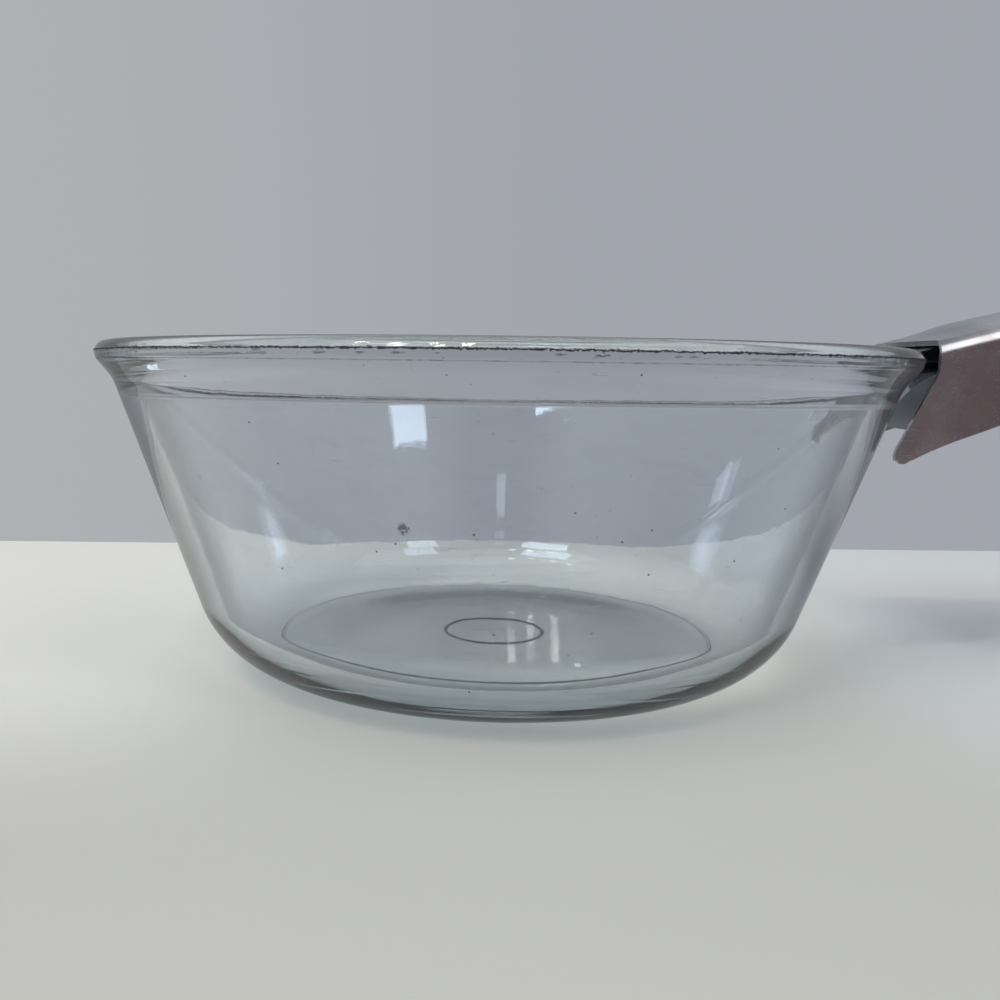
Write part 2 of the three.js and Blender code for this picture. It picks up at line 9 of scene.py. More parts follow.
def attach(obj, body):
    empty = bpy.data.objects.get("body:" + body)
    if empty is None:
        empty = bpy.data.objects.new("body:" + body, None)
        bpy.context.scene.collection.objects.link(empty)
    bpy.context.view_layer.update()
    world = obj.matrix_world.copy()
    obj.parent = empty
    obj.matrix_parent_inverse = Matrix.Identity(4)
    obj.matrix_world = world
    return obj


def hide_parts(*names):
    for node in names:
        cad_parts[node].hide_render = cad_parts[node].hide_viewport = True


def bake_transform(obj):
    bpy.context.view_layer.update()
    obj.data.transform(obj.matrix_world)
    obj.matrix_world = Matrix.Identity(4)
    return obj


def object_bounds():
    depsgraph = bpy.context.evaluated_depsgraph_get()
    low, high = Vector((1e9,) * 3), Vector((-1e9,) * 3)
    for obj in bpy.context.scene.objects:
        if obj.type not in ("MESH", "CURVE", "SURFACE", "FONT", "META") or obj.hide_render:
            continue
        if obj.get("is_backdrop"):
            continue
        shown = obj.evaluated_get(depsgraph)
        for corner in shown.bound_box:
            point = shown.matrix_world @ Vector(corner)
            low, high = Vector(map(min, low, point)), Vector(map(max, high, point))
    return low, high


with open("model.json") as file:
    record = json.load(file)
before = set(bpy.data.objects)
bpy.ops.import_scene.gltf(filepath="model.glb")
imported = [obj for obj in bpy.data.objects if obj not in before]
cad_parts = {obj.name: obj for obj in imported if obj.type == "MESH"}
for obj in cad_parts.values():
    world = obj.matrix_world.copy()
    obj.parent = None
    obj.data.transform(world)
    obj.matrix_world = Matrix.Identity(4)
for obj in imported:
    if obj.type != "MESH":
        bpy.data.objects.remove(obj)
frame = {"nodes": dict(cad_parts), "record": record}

CAD_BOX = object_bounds()

# Sizes in millimetres and angles in radians. The pieces repeat the driving dimensions of the part's source,
# but for a rounder fold along the handle, a flatter rim top and sharper corners at the ledge.
MM = 0.001
WELD = 0.01
CUT_ANGLE = math.radians(50)

# Pan: height, rim and wall
PAN_HEIGHT = 73.8
RIM_RADIUS = 92
SEAM_HEIGHT = 71.7
SEAM_STEP = 0.3
BAND_FOOT = 69.9
BAND_DRAFT = 0.4
BEAD_FOOT = 64.8
BEAD_PULL = 1.6
BEAD_SLANT = 0.75
RIM_CREST_RADIUS = 88.6
RIM_PULL = 1.4
RIM_LEAN = 0.5
RIM_INNER_DROP = 2.2
WALL_FOOT_RADIUS = 65.2
WALL_FLARE = 0.351
WALL_THICKNESS = 4.5
FLOOR_THICKNESS = 5.6
HEEL_RADIUS = 22.8
INNER_HEEL_RADIUS = 18
COLLAR_RADIUS = 84
COLLAR_DRAFT = 1.6
LEDGE_HEIGHT = 63.7
LEDGE_ROUND = 0.08
LEDGE_EDGE = 0.08
BAND_ROUND = 0.22
MOULD_RING_RADIUS = 12
FLOOR_RING_RADIUS = 51.7
MOULD_RING_WIDTH = 0.9
MOULD_RING_HEIGHT = 0.3
PAN_STEPS = 720
CORNER_HOLD = 0.03
GLASS_CORNER = math.radians(38)

# Pressed surfaces are never quite true, and the mould seam is chipped from use
RIPPLE_DEPTH = 0.05
RIPPLE_SIZE = 24
RIPPLE_START = 0.5
CHIP_DEPTH = 0.4
CHIP_SIZE = 1.1
CHIP_RARITY = 0.2
CHIP_REACH = 0.7
CHIP_INSET = 1
SEAM_WANDER = 0.05
WANDER_SIZE = 4.5
WANDER_LEVEL = 40

# Lug: the glass tongue that the handle grips
RISE = 0.26
LUG_TOP_AT_MOUTH = 74.5
LUG_UNDER_AT_MOUTH = 68.8
LUG_END = 111.6
LUG_HALF_WIDTH = 14.5
LUG_ROOT = 87.1
LUG_ROOT_HALF_WIDTH = 18.5
LUG_NECK = 86.5
LUG_SHOULDER = 93
LUG_CORNER = 3
LUG_END_ROUND = 1.5
LUG_FOOT = 56.3
GUSSET_START = 99.1
GUSSET_CORNER = (89.9, 67.9)
GUSSET_SINK = 2.4
LUG_EDGE = 0.8
LUG_EDGE_ANGLE = math.radians(40)
LUG_BACK = 82
LUG_SIDE_SPARE = 2
LUG_CUT = (50, 90)

# Handle shell: an inverted channel of folded sheet
SHEET = 1.2
MOUTH = 94.6
TOP_AT_MOUTH = 76.3
TOP_BEND = 0.00064
MOUTH_HALF_WIDTH = 20
WAIST_HALF_WIDTH = 13.2
END_HALF_WIDTH = 14.5
WIDTH_TAPER = (90.6, 148.6)
END_SWELL = (158.6, 213.6)
MOUTH_DEPTH = 23.6
GRIP_DEPTH = 14.4
DEPTH_TAPER = (84, 172)
WING_DROP = 3.2
WING_SWEEP = (84, 101)
WING_TOP = 70.3
WING_SLANT = (93.4, 66.9)
WING_TIP_START = (86.5, 52.5)
WING_TIP_CORNER = (85.2, 49.1)
WING_TIP_END = 88.5
FOLD_RADIUS = 3.2
CROWNS = (0.1, 1.9)
CROWN_RUN = 12
END_CENTRE = 222.6
HANG_HOLE_RADIUS = 4.5
LIP = 3
LIP_START = 128.6
LIP_BEND = (116.6, 134.6)
LIP_ROUND = 1.7
LIP_GROWTH = (122.6, 136.6)
CUT_EDGE = 0.28

# Clamp lever, pins and spring
PIVOT = (118.6, 71.3)
LEVER_END = 172.6
LEVER_TAIL_HALF_WIDTH = 8.5
LEVER_PINCH = (120.6, 136.6)
SIDE_PLAY = 0.8
APRON_FOOT = (90.2, 56.3)
JAW_LIFT = 6.2
TAB_DROP = 5.5
TAB_LOW = 156.6
TAB_TIP_LIFT = 4
GAP = 0.3
PIN_RADIUS = 2
PIN_HEAD_RADIUS = 4.2
PIN_HEAD_HEIGHT = 1.7
HEAD_EDGE = 0.6
SLEEVE_RADIUS = 3.5
RIVET_AT = 154.6
RIVET_RADIUS = 1.4
RIVET_HEAD_RADIUS = 3.2
RIVET_HEAD_HEIGHT = 1.3
RIVET_TAIL_RADIUS = 2.4
RIVET_TAIL_HEIGHT = 0.9
SPRING_THICKNESS = 0.6
SPRING_WIDTH = 8
SPRING_DROP = 0.65
SPRING_START = 162.6
SPRING_BEND = 149.6
SPRING_SWEEP = (143.6, 140.6)
SPRING_EASE = 1.5
SPRING_TOUCH = 133.6
SPRING_TIP = 130.1
SPRING_TIP_LIFT = 1
SPRING_EDGE = 0.15
SLEEVE_EDGE = 0.2
RIVET_EDGE = 0.12
ROUND_STEPS = 56

# Camera, a little below the rim. The picture shows more to the right of the lens axis than to the left.
CAMERA_PLACE = (-2.93, -241.98, 68.66)
CAMERA_PITCH = 0.1306
CAMERA_TURN = 0.0469
CAMERA_ROLL = 0.014
CAMERA_LENS = 36
CAMERA_SHIFT = 0.062
CAMERA_NEAR = 10


# Small geometry helpers

def spread(start, end, steps):
    return [start + (end - start) * i / steps for i in range(steps + 1)]


def lerp(start, end, share):
    return start + (end - start) * share


def smoothstep(x, low, high):
    t = min(1, max(0, (x - low) / (high - low)))
    return t * t * (3 - 2 * t)


def line(start, end, steps):
    return [(lerp(start[0], end[0], t), lerp(start[1], end[1], t)) for t in spread(0, 1, steps)]


def held_line(start, end, steps):
    """A line with an extra point close to each end, which keeps the shading of a corner off the flat."""
    hold = CORNER_HOLD / math.dist(start, end)
    shares = [0, hold, *spread(0, 1, steps)[1:-1], 1 - hold, 1]
    return [(lerp(start[0], end[0], t), lerp(start[1], end[1], t)) for t in shares]


def arc(centre, radius, start, end, steps):
    angles = spread(start, end, steps)
    return [(centre[0] + radius * math.cos(a), centre[1] + radius * math.sin(a)) for a in angles]


def bezier(points, steps):
    """Points on a Bezier curve through its control points, by repeated interpolation."""
    curve = []
    for t in spread(0, 1, steps):
        left = list(points)
        while len(left) > 1:
            left = [(lerp(a[0], b[0], t), lerp(a[1], b[1], t)) for a, b in zip(left, left[1:])]
        curve.append(left[0])
    return curve


def joined(*runs):
    """One path from runs that meet end to end."""
    path = list(runs[0])
    for run in runs[1:]:
        path.extend(p for p in run if math.dist(p, path[-1]) > 1e-6)
    return path


def resampled(path, steps):
    """The same path with its points evenly spaced."""
    lengths = [0]
    for a, b in zip(path, path[1:]):
        lengths.append(lengths[-1] + math.dist(a, b))
    points = []
    i = 0
    for goal in spread(0, lengths[-1], steps):
        while i < len(path) - 2 and lengths[i + 1] < goal:
            i += 1
        share = (goal - lengths[i]) / (lengths[i + 1] - lengths[i])
        points.append((lerp(path[i][0], path[i + 1][0], share), lerp(path[i][1], path[i + 1][1], share)))
    return points


def piece(name, points, faces):
    """A smooth-shaded mesh object from points in millimetres."""
    mesh = bpy.data.meshes.new(name)
    mesh.from_pydata([Vector(p) * MM for p in points], [], faces)
    work = bmesh.new()
    work.from_mesh(mesh)
    bmesh.ops.recalc_face_normals(work, faces=work.faces)
    work.to_mesh(mesh)
    work.free()
    mesh.shade_smooth()
    obj = bpy.data.objects.new(name, mesh)
    bpy.context.scene.collection.objects.link(obj)
    return obj


def turned(name, profile, steps, place=None):
    """A profile of (radius, height) turned about Z. place(radius, height, turn) may move each point."""
    points = []
    rows = []
    for radius, height in profile:
        row = []
        for turn in spread(0, 2 * math.pi, steps)[:-1]:
            r, z = place(radius, height, turn) if place else (radius, height)
            if radius == 0 and row:
                row.append(row[0])
                continue
            row.append(len(points))
            points.append((r * math.cos(turn), r * math.sin(turn), z))
        rows.append(row)
    if profile[0] == profile[-1]:
        rows[-1] = rows[0]
    faces = []
    for low, high in zip(rows, rows[1:]):
        for j in range(steps):
            k = (j + 1) % steps
            corners = [low[j], low[k], high[k], high[j]]
            faces.append(list(dict.fromkeys(corners)))
    return piece(name, points, faces)


def extruded(name, outline, at):
    """An outline as a prism: at(point, side) gives the corner for side -1 and side 1."""
    count = len(outline)
    points = [at(p, side) for side in (-1, 1) for p in outline]
    faces = [list(range(count)), list(range(2 * count - 1, count - 1, -1))]
    for i in range(count):
        j = (i + 1) % count
        faces.append([i, j, count + j, count + i])
    return piece(name, points, faces)


def settled(obj):
    """Replace an object's mesh by the result of its modifiers."""
    bpy.context.view_layer.update()
    depsgraph = bpy.context.evaluated_depsgraph_get()
    mesh = bpy.data.meshes.new_from_object(obj.evaluated_get(depsgraph))
    obj.modifiers.clear()
    obj.data = mesh
    return obj


def combined(obj, other, operation):
    """Join or cut obj with another solid, which is used up."""
    step = obj.modifiers.new("join", "BOOLEAN")
    step.operation = operation
    step.solver = "EXACT"
    step.object = other
    settled(obj)
    bpy.data.objects.remove(other)
    return obj


def rounded_edges(obj, width, segments, angle):
    bevel = obj.modifiers.new("edges", "BEVEL")
    bevel.width = width * MM
    bevel.segments = segments
    bevel.limit_method = "ANGLE"
    bevel.angle_limit = angle
    bevel.use_clamp_overlap = True
    return obj


def even_normals(obj):
    step = obj.modifiers.new("normals", "WEIGHTED_NORMAL")
    step.keep_sharp = True
    return obj


# Glass bowl

WALL_LEAN = math.atan(WALL_FLARE)


def outer_wall(z):
    return WALL_FOOT_RADIUS + WALL_FLARE * z


def inner_wall(z):
    return outer_wall(z) - WALL_THICKNESS / math.cos(WALL_LEAN)


def heel_centre(radius, floor, wall):
    """Centre of the arc that runs from a level floor into a leaning wall."""
    meeting = floor + radius * (1 - math.sin(WALL_LEAN))
    return wall(meeting) - radius * math.cos(WALL_LEAN), floor + radius


def ring_ridge(radius, floor):
    """A low round ridge that the mould leaves in the floor, from its outer edge inwards."""
    half = MOULD_RING_WIDTH / 2
    top = floor + 2 * MOULD_RING_HEIGHT
    return bezier([(radius + half, floor), (radius, top), (radius - half, floor)], 6)


def rim_outside():
    """The bead swells out of the wall to the upright band, the seam and the round crest."""
    bead_low = BEAD_FOOT + BEAD_PULL
    band = RIM_RADIUS - BAND_DRAFT
    edge = RIM_RADIUS - SEAM_STEP
    edge_low = SEAM_HEIGHT + SEAM_STEP
    crest = RIM_CREST_RADIUS
    bead = [
        (outer_wall(BEAD_FOOT), BEAD_FOOT),
        (outer_wall(bead_low), bead_low),
        (band - BEAD_SLANT * BEAD_PULL, BAND_FOOT - BEAD_PULL),
        (band, BAND_FOOT),
    ]
    seam = (RIM_RADIUS, SEAM_HEIGHT)
    round_top = [
        (edge, edge_low),
        (edge - RIM_LEAN, edge_low + RIM_PULL),
        (crest + RIM_PULL, PAN_HEIGHT),
        (crest, PAN_HEIGHT),
    ]
    path = joined(
        bezier(bead, 14),
        line(bead[-1], seam, 5),
        line(seam, round_top[0], 2),
        bezier(round_top, 12),
    )
    return softened(path, bead[-1], BAND_ROUND)


def rim_inside():
    """The collar that a lid stands in, and the ledge that carries it."""
    collar_top = COLLAR_RADIUS + COLLAR_DRAFT
    ledge_low = LEDGE_HEIGHT - LEDGE_EDGE
    corner = inner_wall(LEDGE_HEIGHT)
    crest = [
        (RIM_CREST_RADIUS, PAN_HEIGHT),
        (collar_top, PAN_HEIGHT),
        (collar_top, PAN_HEIGHT - RIM_INNER_DROP),
    ]
    hollow = [
        (COLLAR_RADIUS, LEDGE_HEIGHT + LEDGE_ROUND),
        (COLLAR_RADIUS, LEDGE_HEIGHT),
        (COLLAR_RADIUS - LEDGE_ROUND, LEDGE_HEIGHT),
    ]
    edge = [(corner + LEDGE_EDGE, LEDGE_HEIGHT), (corner, LEDGE_HEIGHT), (inner_wall(ledge_low), ledge_low)]
    return joined(
        bezier(crest, 12),
        held_line(crest[-1], hollow[0], 6),
        bezier(hollow, 6),
        held_line(hollow[-1], edge[0], 2),
        bezier(edge, 6),
    )


def softened(path, corner, reach):
    """Round one corner of a path with a curve that leaves and meets it that far away."""
    before = [p for p in path if p[1] < corner[1] and math.dist(p, corner) > reach]
    after = [p for p in path if p[1] > corner[1] and math.dist(p, corner) > reach]
    return joined(before, bezier([before[-1], corner, after[0]], 6), after)


def pan_profile():
    heel = heel_centre(HEEL_RADIUS, 0, outer_wall)
    inner = heel_centre(INNER_HEEL_RADIUS, FLOOR_THICKNESS, inner_wall)
    ring_half = MOULD_RING_WIDTH / 2
    heel_end = -math.acos((FLOOR_RING_RADIUS + ring_half - inner[0]) / INNER_HEEL_RADIUS)
    ring_floor = inner[1] + INNER_HEEL_RADIUS * math.sin(heel_end)
    outer_heel = arc(heel, HEEL_RADIUS, -math.pi / 2, -WALL_LEAN, 20)
    inner_heel = arc(inner, INNER_HEEL_RADIUS, -WALL_LEAN, heel_end, 22)
    outside = rim_outside()
    inside = rim_inside()
    return joined(
        line((0, 0), outer_heel[0], 6),
        outer_heel,
        line(outer_heel[-1], outside[0], 10),
        outside,
        inside,
        held_line(inside[-1], inner_heel[0], 10),
        inner_heel,
        ring_ridge(FLOOR_RING_RADIUS, ring_floor),
        line((inner[0], FLOOR_THICKNESS), (MOULD_RING_RADIUS + ring_half, FLOOR_THICKNESS), 6),
        ring_ridge(MOULD_RING_RADIUS, FLOOR_THICKNESS),
        line((MOULD_RING_RADIUS - ring_half, FLOOR_THICKNESS), (0, FLOOR_THICKNESS), 3),
    )


def on_circle(radius, turn, level):
    return Vector((radius * math.cos(turn), radius * math.sin(turn), level))


def chipped(radius, height, turn):
    """Bite small chips out of the mould seam and let its line wander."""
    near = smoothstep(abs(height - SEAM_HEIGHT), CHIP_REACH, 0)
    if near == 0 or radius <= RIM_RADIUS - CHIP_INSET:
        return radius, height
    bite = max(0, noise.noise(on_circle(RIM_RADIUS, turn, 0) / CHIP_SIZE) - CHIP_RARITY)
    wander = noise.noise(on_circle(RIM_RADIUS, turn, WANDER_LEVEL) / WANDER_SIZE)
    return radius - CHIP_DEPTH * bite * near, height + SEAM_WANDER * wander * near


def rippled(obj):
    """Give the pressed surfaces their slight unevenness, but for the flat base."""
    work = bmesh.new()
    work.from_mesh(obj.data)
    work.normal_update()
    for vertex in work.verts:
        swell = noise.noise(vertex.co / (RIPPLE_SIZE * MM))
        if vertex.co.z > RIPPLE_START * MM:
            vertex.co += vertex.normal * (swell - 1) / 2 * RIPPLE_DEPTH * MM
    work.to_mesh(obj.data)
    work.free()
    return obj


def lug_top(x):
    return LUG_TOP_AT_MOUTH + RISE * (x - MOUTH)


def lug_under(x):
    return LUG_UNDER_AT_MOUTH + RISE * (x - MOUTH)


def lug_solid():
    """The lug's side view and plan, each drawn out and then cut with the other."""
    end = LUG_END - LUG_END_ROUND
    foot = outer_wall(LUG_FOOT)
    nose = [(end, lug_top(end)), (LUG_END, lug_top(LUG_END)), (LUG_END, lug_top(LUG_END) - LUG_END_ROUND)]
    chin = [
        (LUG_END, lug_under(LUG_END) + LUG_END_ROUND),
        (LUG_END, lug_under(LUG_END)),
        (end, lug_under(end)),
    ]
    gusset = [(GUSSET_START, lug_under(GUSSET_START)), GUSSET_CORNER, (foot - GUSSET_SINK / 3, LUG_FOOT)]
    side = joined(
        [(LUG_ROOT, lug_top(LUG_ROOT))],
        bezier(nose, 6),
        bezier(chin, 6),
        bezier(gusset, 12),
        [(foot - GUSSET_SINK, LUG_FOOT)],
    )
    flare = [(LUG_BACK, LUG_ROOT_HALF_WIDTH), (LUG_NECK, LUG_HALF_WIDTH), (LUG_SHOULDER, LUG_HALF_WIDTH)]
    corner = [
        (LUG_END - LUG_CORNER, LUG_HALF_WIDTH),
        (LUG_END, LUG_HALF_WIDTH),
        (LUG_END, LUG_HALF_WIDTH - LUG_CORNER),
    ]
    half = joined(bezier(flare, 12), bezier(corner, 8))
    plan = half + [(x, -y) for x, y in reversed(half)]
    width = LUG_ROOT_HALF_WIDTH + LUG_SIDE_SPARE
    lug = extruded("lug", side, lambda p, s: (p[0], s * width, p[1]))
    across = extruded("lug_plan", plan, lambda p, s: (p[0], p[1], lerp(*LUG_CUT, (s + 1) / 2)))
    combined(lug, across, "INTERSECT")
    return settled(rounded_edges(lug, LUG_EDGE, 3, LUG_EDGE_ANGLE))


def glass_bowl():
    bowl = rippled(turned("glass_bowl_pressed", pan_profile(), PAN_STEPS, chipped))
    combined(bowl, lug_solid(), "UNION")
    bowl.data.shade_smooth()
    bowl.data.set_sharp_from_angle(angle=GLASS_CORNER)
    return bowl


# Handle shell

def top_height(x):
    return TOP_AT_MOUTH + RISE * (x - MOUTH) - TOP_BEND * (x - MOUTH) ** 2


def top_slope(x):
    return RISE - 2 * TOP_BEND * (x - MOUTH)


def crown_height(x):
    return lerp(*CROWNS, smoothstep(x, MOUTH, MOUTH + CROWN_RUN))


def middle_height(x):
    return top_height(x) + crown_height(x)


def lower_edge(x):
    tip, eased = WING_SWEEP
    sweep = min(1, max(0, (eased - x) / (eased - tip)))
    depth = lerp(MOUTH_DEPTH, GRIP_DEPTH, smoothstep(x, *DEPTH_TAPER))
    return top_height(x) - depth - WING_DROP * sweep ** 2


def shell_half_width(x):
    to_waist = lerp(MOUTH_HALF_WIDTH, WAIST_HALF_WIDTH, smoothstep(x, *WIDTH_TAPER))
    return to_waist + (END_HALF_WIDTH - WAIST_HALF_WIDTH) * smoothstep(x, *END_SWELL)


# Points across and along the sheet
FOLD_ROWS = 9
TOP_ROWS = 10
SIDE_ROWS = 26
LIP_ROWS = 6
FLAT_ROWS = 3
WING_COLUMNS = 12
TIP_COLUMNS = 5


def shell_columns():
    """Where each line across the sheet stands: a place along the handle and, round its end, a turn."""
    front = [(x, 0) for x in spread(MOUTH, LIP_START, 28)]
    grip = [(x, 0) for x in spread(LIP_START, END_CENTRE - HANG_HOLE_RADIUS, 34)[1:]]
    hole = [(END_CENTRE - HANG_HOLE_RADIUS * math.cos(a), 0) for a in spread(0, math.pi / 2, 8)[1:]]
    end = [(END_CENTRE, a) for a in spread(0, math.pi / 2, 16)[1:]]
    return front + grip + hole + end


def plan_point(column, inward):
    """Plan of the point that lies inward of the outline on one column."""
    x, turn = column
    reach = shell_half_width(x) - inward
    return x + reach * math.sin(turn), reach * math.cos(turn)


def hole_reach(column):
    """How far from the middle line the top plate ends, which is nowhere but at the hanging hole."""
    x, turn = column
    if turn > 0:
        return HANG_HOLE_RADIUS
    return math.sqrt(max(0, HANG_HOLE_RADIUS ** 2 - (END_CENTRE - x) ** 2))


def plate_rows(column):
    """The top plate and its fold on one column, from the middle line to the top of the side wall."""
    half = shell_half_width(column[0])
    crown = crown_height(column[0])
    lean = 2 * math.atan(crown / (half - FOLD_RADIUS))
    crown_radius = FOLD_RADIUS + (half - FOLD_RADIUS) / math.sin(lean)
    edge = crown_radius * math.sin(lean)
    rows = []
    for reach in spread(hole_reach(column), edge, TOP_ROWS):
        rows.append((half - reach, crown_radius - math.sqrt(crown_radius ** 2 - reach ** 2)))
    for angle in spread(math.pi / 2 - lean, 0, FOLD_ROWS)[1:]:
        rows.append((FOLD_RADIUS * (1 - math.cos(angle)), crown + FOLD_RADIUS * (1 - math.sin(angle))))
    points = []
    for inward, drop in rows:
        x, y = plan_point(column, inward)
        points.append((x, y, middle_height(x) - drop))
    return points


def wing_tip():
    tip_end = (WING_TIP_END, lower_edge(WING_TIP_END))
    return bezier([WING_TIP_START, WING_TIP_CORNER, tip_end], 2 * TIP_COLUMNS)


def wing_front():
    """Front edge of a wing in the side view, from the fold down to the middle of its tip."""
    top = (MOUTH, top_height(MOUTH) - FOLD_RADIUS)
    ease = [(MOUTH, WING_TOP), (MOUTH, (WING_TOP + WING_SLANT[1]) / 2), WING_SLANT]
    path = joined([top], bezier(ease, 8), [WING_TIP_START], wing_tip()[: TIP_COLUMNS + 1])
    return resampled(path, SIDE_ROWS)


def lip_turn(x):
    """How far the lower edge is bent inwards."""
    return math.pi / 2 * smoothstep(x, *LIP_BEND)


def lip_fall(turn):
    """Height of the bent edge, whose length along the sheet is the same at any bend."""
    length = LIP_ROUND * math.pi / 2
    return length if turn < 1e-6 else length * math.sin(turn) / turn


def wall_foot(index, columns):
    """Side-view point where the flat of the side wall ends on one column."""
    tip = wing_tip()[TIP_COLUMNS:]
    if index <= TIP_COLUMNS:
        return tip[index]
    x = columns[index][0]
    start = columns[TIP_COLUMNS][0]
    back = (start - WING_TIP_END) * (1 - smoothstep(x, start, LIP_BEND[0]))
    return x - back, lower_edge(x - back)


def side_rows(index, columns, front):
    """The side wall on one column, from under the fold to where the lip starts to bend."""
    column = columns[index]
    x, turn = column
    if turn > 0:
        px, py = plan_point(column, 0)
        high = top_height(px) - FOLD_RADIUS
        low = lower_edge(px) + lip_fall(lip_turn(px))
        return [(px, py, z) for z in spread(high, low, SIDE_ROWS)[1:]]
    head = (x, top_height(x) - FOLD_RADIUS)
    foot = wall_foot(index, columns)
    lift = lip_fall(lip_turn(foot[0])) * smoothstep(index, TIP_COLUMNS, WING_COLUMNS)
    foot = (foot[0], foot[1] + lift)
    sway = max(0, 1 - index / WING_COLUMNS) ** 2
    points = []
    for j, share in enumerate(spread(0, 1, SIDE_ROWS)):
        px = lerp(head[0], foot[0], share)
        pz = lerp(head[1], foot[1], share)
        px += sway * (front[j][0] - lerp(front[0][0], front[-1][0], share))
        pz += sway * (front[j][1] - lerp(front[0][1], front[-1][1], share))
        points.append((px, shell_half_width(px), pz))
    return points[1:]


def lip_rows(index, columns, foot):
    """The edge of the sheet below the side wall: straight down at the mouth, rolled in along the grip."""
    column = columns[index]
    x, turn = column
    bend = lip_turn(foot[0])
    grow = smoothstep(index, TIP_COLUMNS, WING_COLUMNS)
    length = LIP_ROUND * math.pi / 2 * grow
    if grow == 0:
        return []
    points = []
    inward = 0
    drop = 0
    for share in spread(0, 1, LIP_ROWS)[1:]:
        angle = bend * (share - 0.5 / LIP_ROWS)
        inward += length / LIP_ROWS * math.sin(angle)
        drop += length / LIP_ROWS * math.cos(angle)
        points.append((inward, drop))
    if x >= LIP_START:
        flat = (LIP - LIP_ROUND) * smoothstep(x, *LIP_GROWTH)
        for share in spread(0, 1, FLAT_ROWS)[1:]:
            points.append((inward + flat * share * math.sin(bend), drop + flat * share * math.cos(bend)))
    placed = []
    for inward, drop in points:
        if turn > 0:
            px, py = plan_point(column, inward)
        else:
            px, py = foot[0], shell_half_width(foot[0]) - inward
        placed.append((px, py, foot[2] - drop))
    return placed


def shell_half():
    """Points and faces of the outer face of the sheet on one side of the middle line."""
    columns = shell_columns()
    front = wing_front()
    points = []
    lines = []
    for index, column in enumerate(columns):
        rows = plate_rows(column)
        rows += side_rows(index, columns, front)
        rows += lip_rows(index, columns, rows[-1])
        lines.append(list(range(len(points), len(points) + len(rows))))
        points += rows
    faces = []
    for here, ahead in zip(lines, lines[1:]):
        for j in range(min(len(here), len(ahead)) - 1):
            faces.append([here[j], here[j + 1], ahead[j + 1], ahead[j]])
    return points, faces


def handle_shell():
    points, faces = shell_half()
    used = sorted({corner for face in faces for corner in face})
    place = {corner: i for i, corner in enumerate(used)}
    shell = piece("handle_shell_sheet", [points[c] for c in used], [[place[c] for c in f] for f in faces])
    mirror = shell.modifiers.new("other_side", "MIRROR")
    mirror.use_axis = (False, True, False)
    mirror.merge_threshold = WELD * MM
    sheet = shell.modifiers.new("sheet", "SOLIDIFY")
    sheet.thickness = SHEET * MM
    sheet.offset = -1
    sheet.use_even_offset = True
    rounded_edges(shell, CUT_EDGE, 3, CUT_ANGLE)
    return even_normals(shell)


# Clamp lever, pins and spring

def lever_floor(x):
    lift = lerp(JAW_LIFT, -TAB_DROP, smoothstep(x, APRON_FOOT[0], TAB_LOW))
    return lower_edge(x) + lift + TAB_TIP_LIFT * smoothstep(x, TAB_LOW, LEVER_END)


def lever_half_width(x):
    beside = shell_half_width(x) - SHEET - SIDE_PLAY
    return lerp(beside, LEVER_TAIL_HALF_WIDTH, smoothstep(x, *LEVER_PINCH))


def clamp_lever():
    """The lever keeps its built form, with the edges of the sheet eased."""
    lever = frame["nodes"]["clamp_lever"]
    weld = lever.modifiers.new("weld", "WELD")
    weld.merge_threshold = WELD * MM
    rounded_edges(lever, CUT_EDGE, 2, CUT_ANGLE)
    return even_normals(lever)


def across_handle(obj):
    """Turn a piece made about Z so that it lies across the handle at the pivot."""
    obj.data.transform(Matrix.Rotation(math.pi / 2, 4, "X"))
    obj.data.transform(Matrix.Translation(Vector((PIVOT[0], 0, PIVOT[1])) * MM))
    return obj


def pivot_pin():
    inside = shell_half_width(PIVOT[0] - PIN_HEAD_RADIUS) + GAP
    outside = inside + PIN_HEAD_HEIGHT
    head = [
        (PIN_HEAD_RADIUS, inside),
        (PIN_HEAD_RADIUS, outside - HEAD_EDGE),
        (PIN_HEAD_RADIUS / 2, outside),
        (0, outside),
    ]
    upper = joined([(PIN_RADIUS, 0), (PIN_RADIUS, inside)], bezier(head, 14))
    lower = [(r, -z) for r, z in reversed(upper)]
    pin = turned("pivot_pin_turned", joined(lower, upper), ROUND_STEPS)
    return across_handle(rounded_edges(pin, RIVET_EDGE, 2, CUT_ANGLE))


def pivot_sleeve():
    half = lever_half_width(PIVOT[0] + SLEEVE_RADIUS) - SHEET - GAP
    bore = PIN_RADIUS + GAP
    ring = [(bore, -half), (SLEEVE_RADIUS, -half), (SLEEVE_RADIUS, half), (bore, half), (bore, -half)]
    sleeve = turned("pivot_sleeve_turned", ring, ROUND_STEPS)
    return across_handle(rounded_edges(sleeve, SLEEVE_EDGE, 2, CUT_ANGLE))


def spring_seat(x):
    return middle_height(x) - SHEET - SPRING_DROP - SPRING_THICKNESS / 2


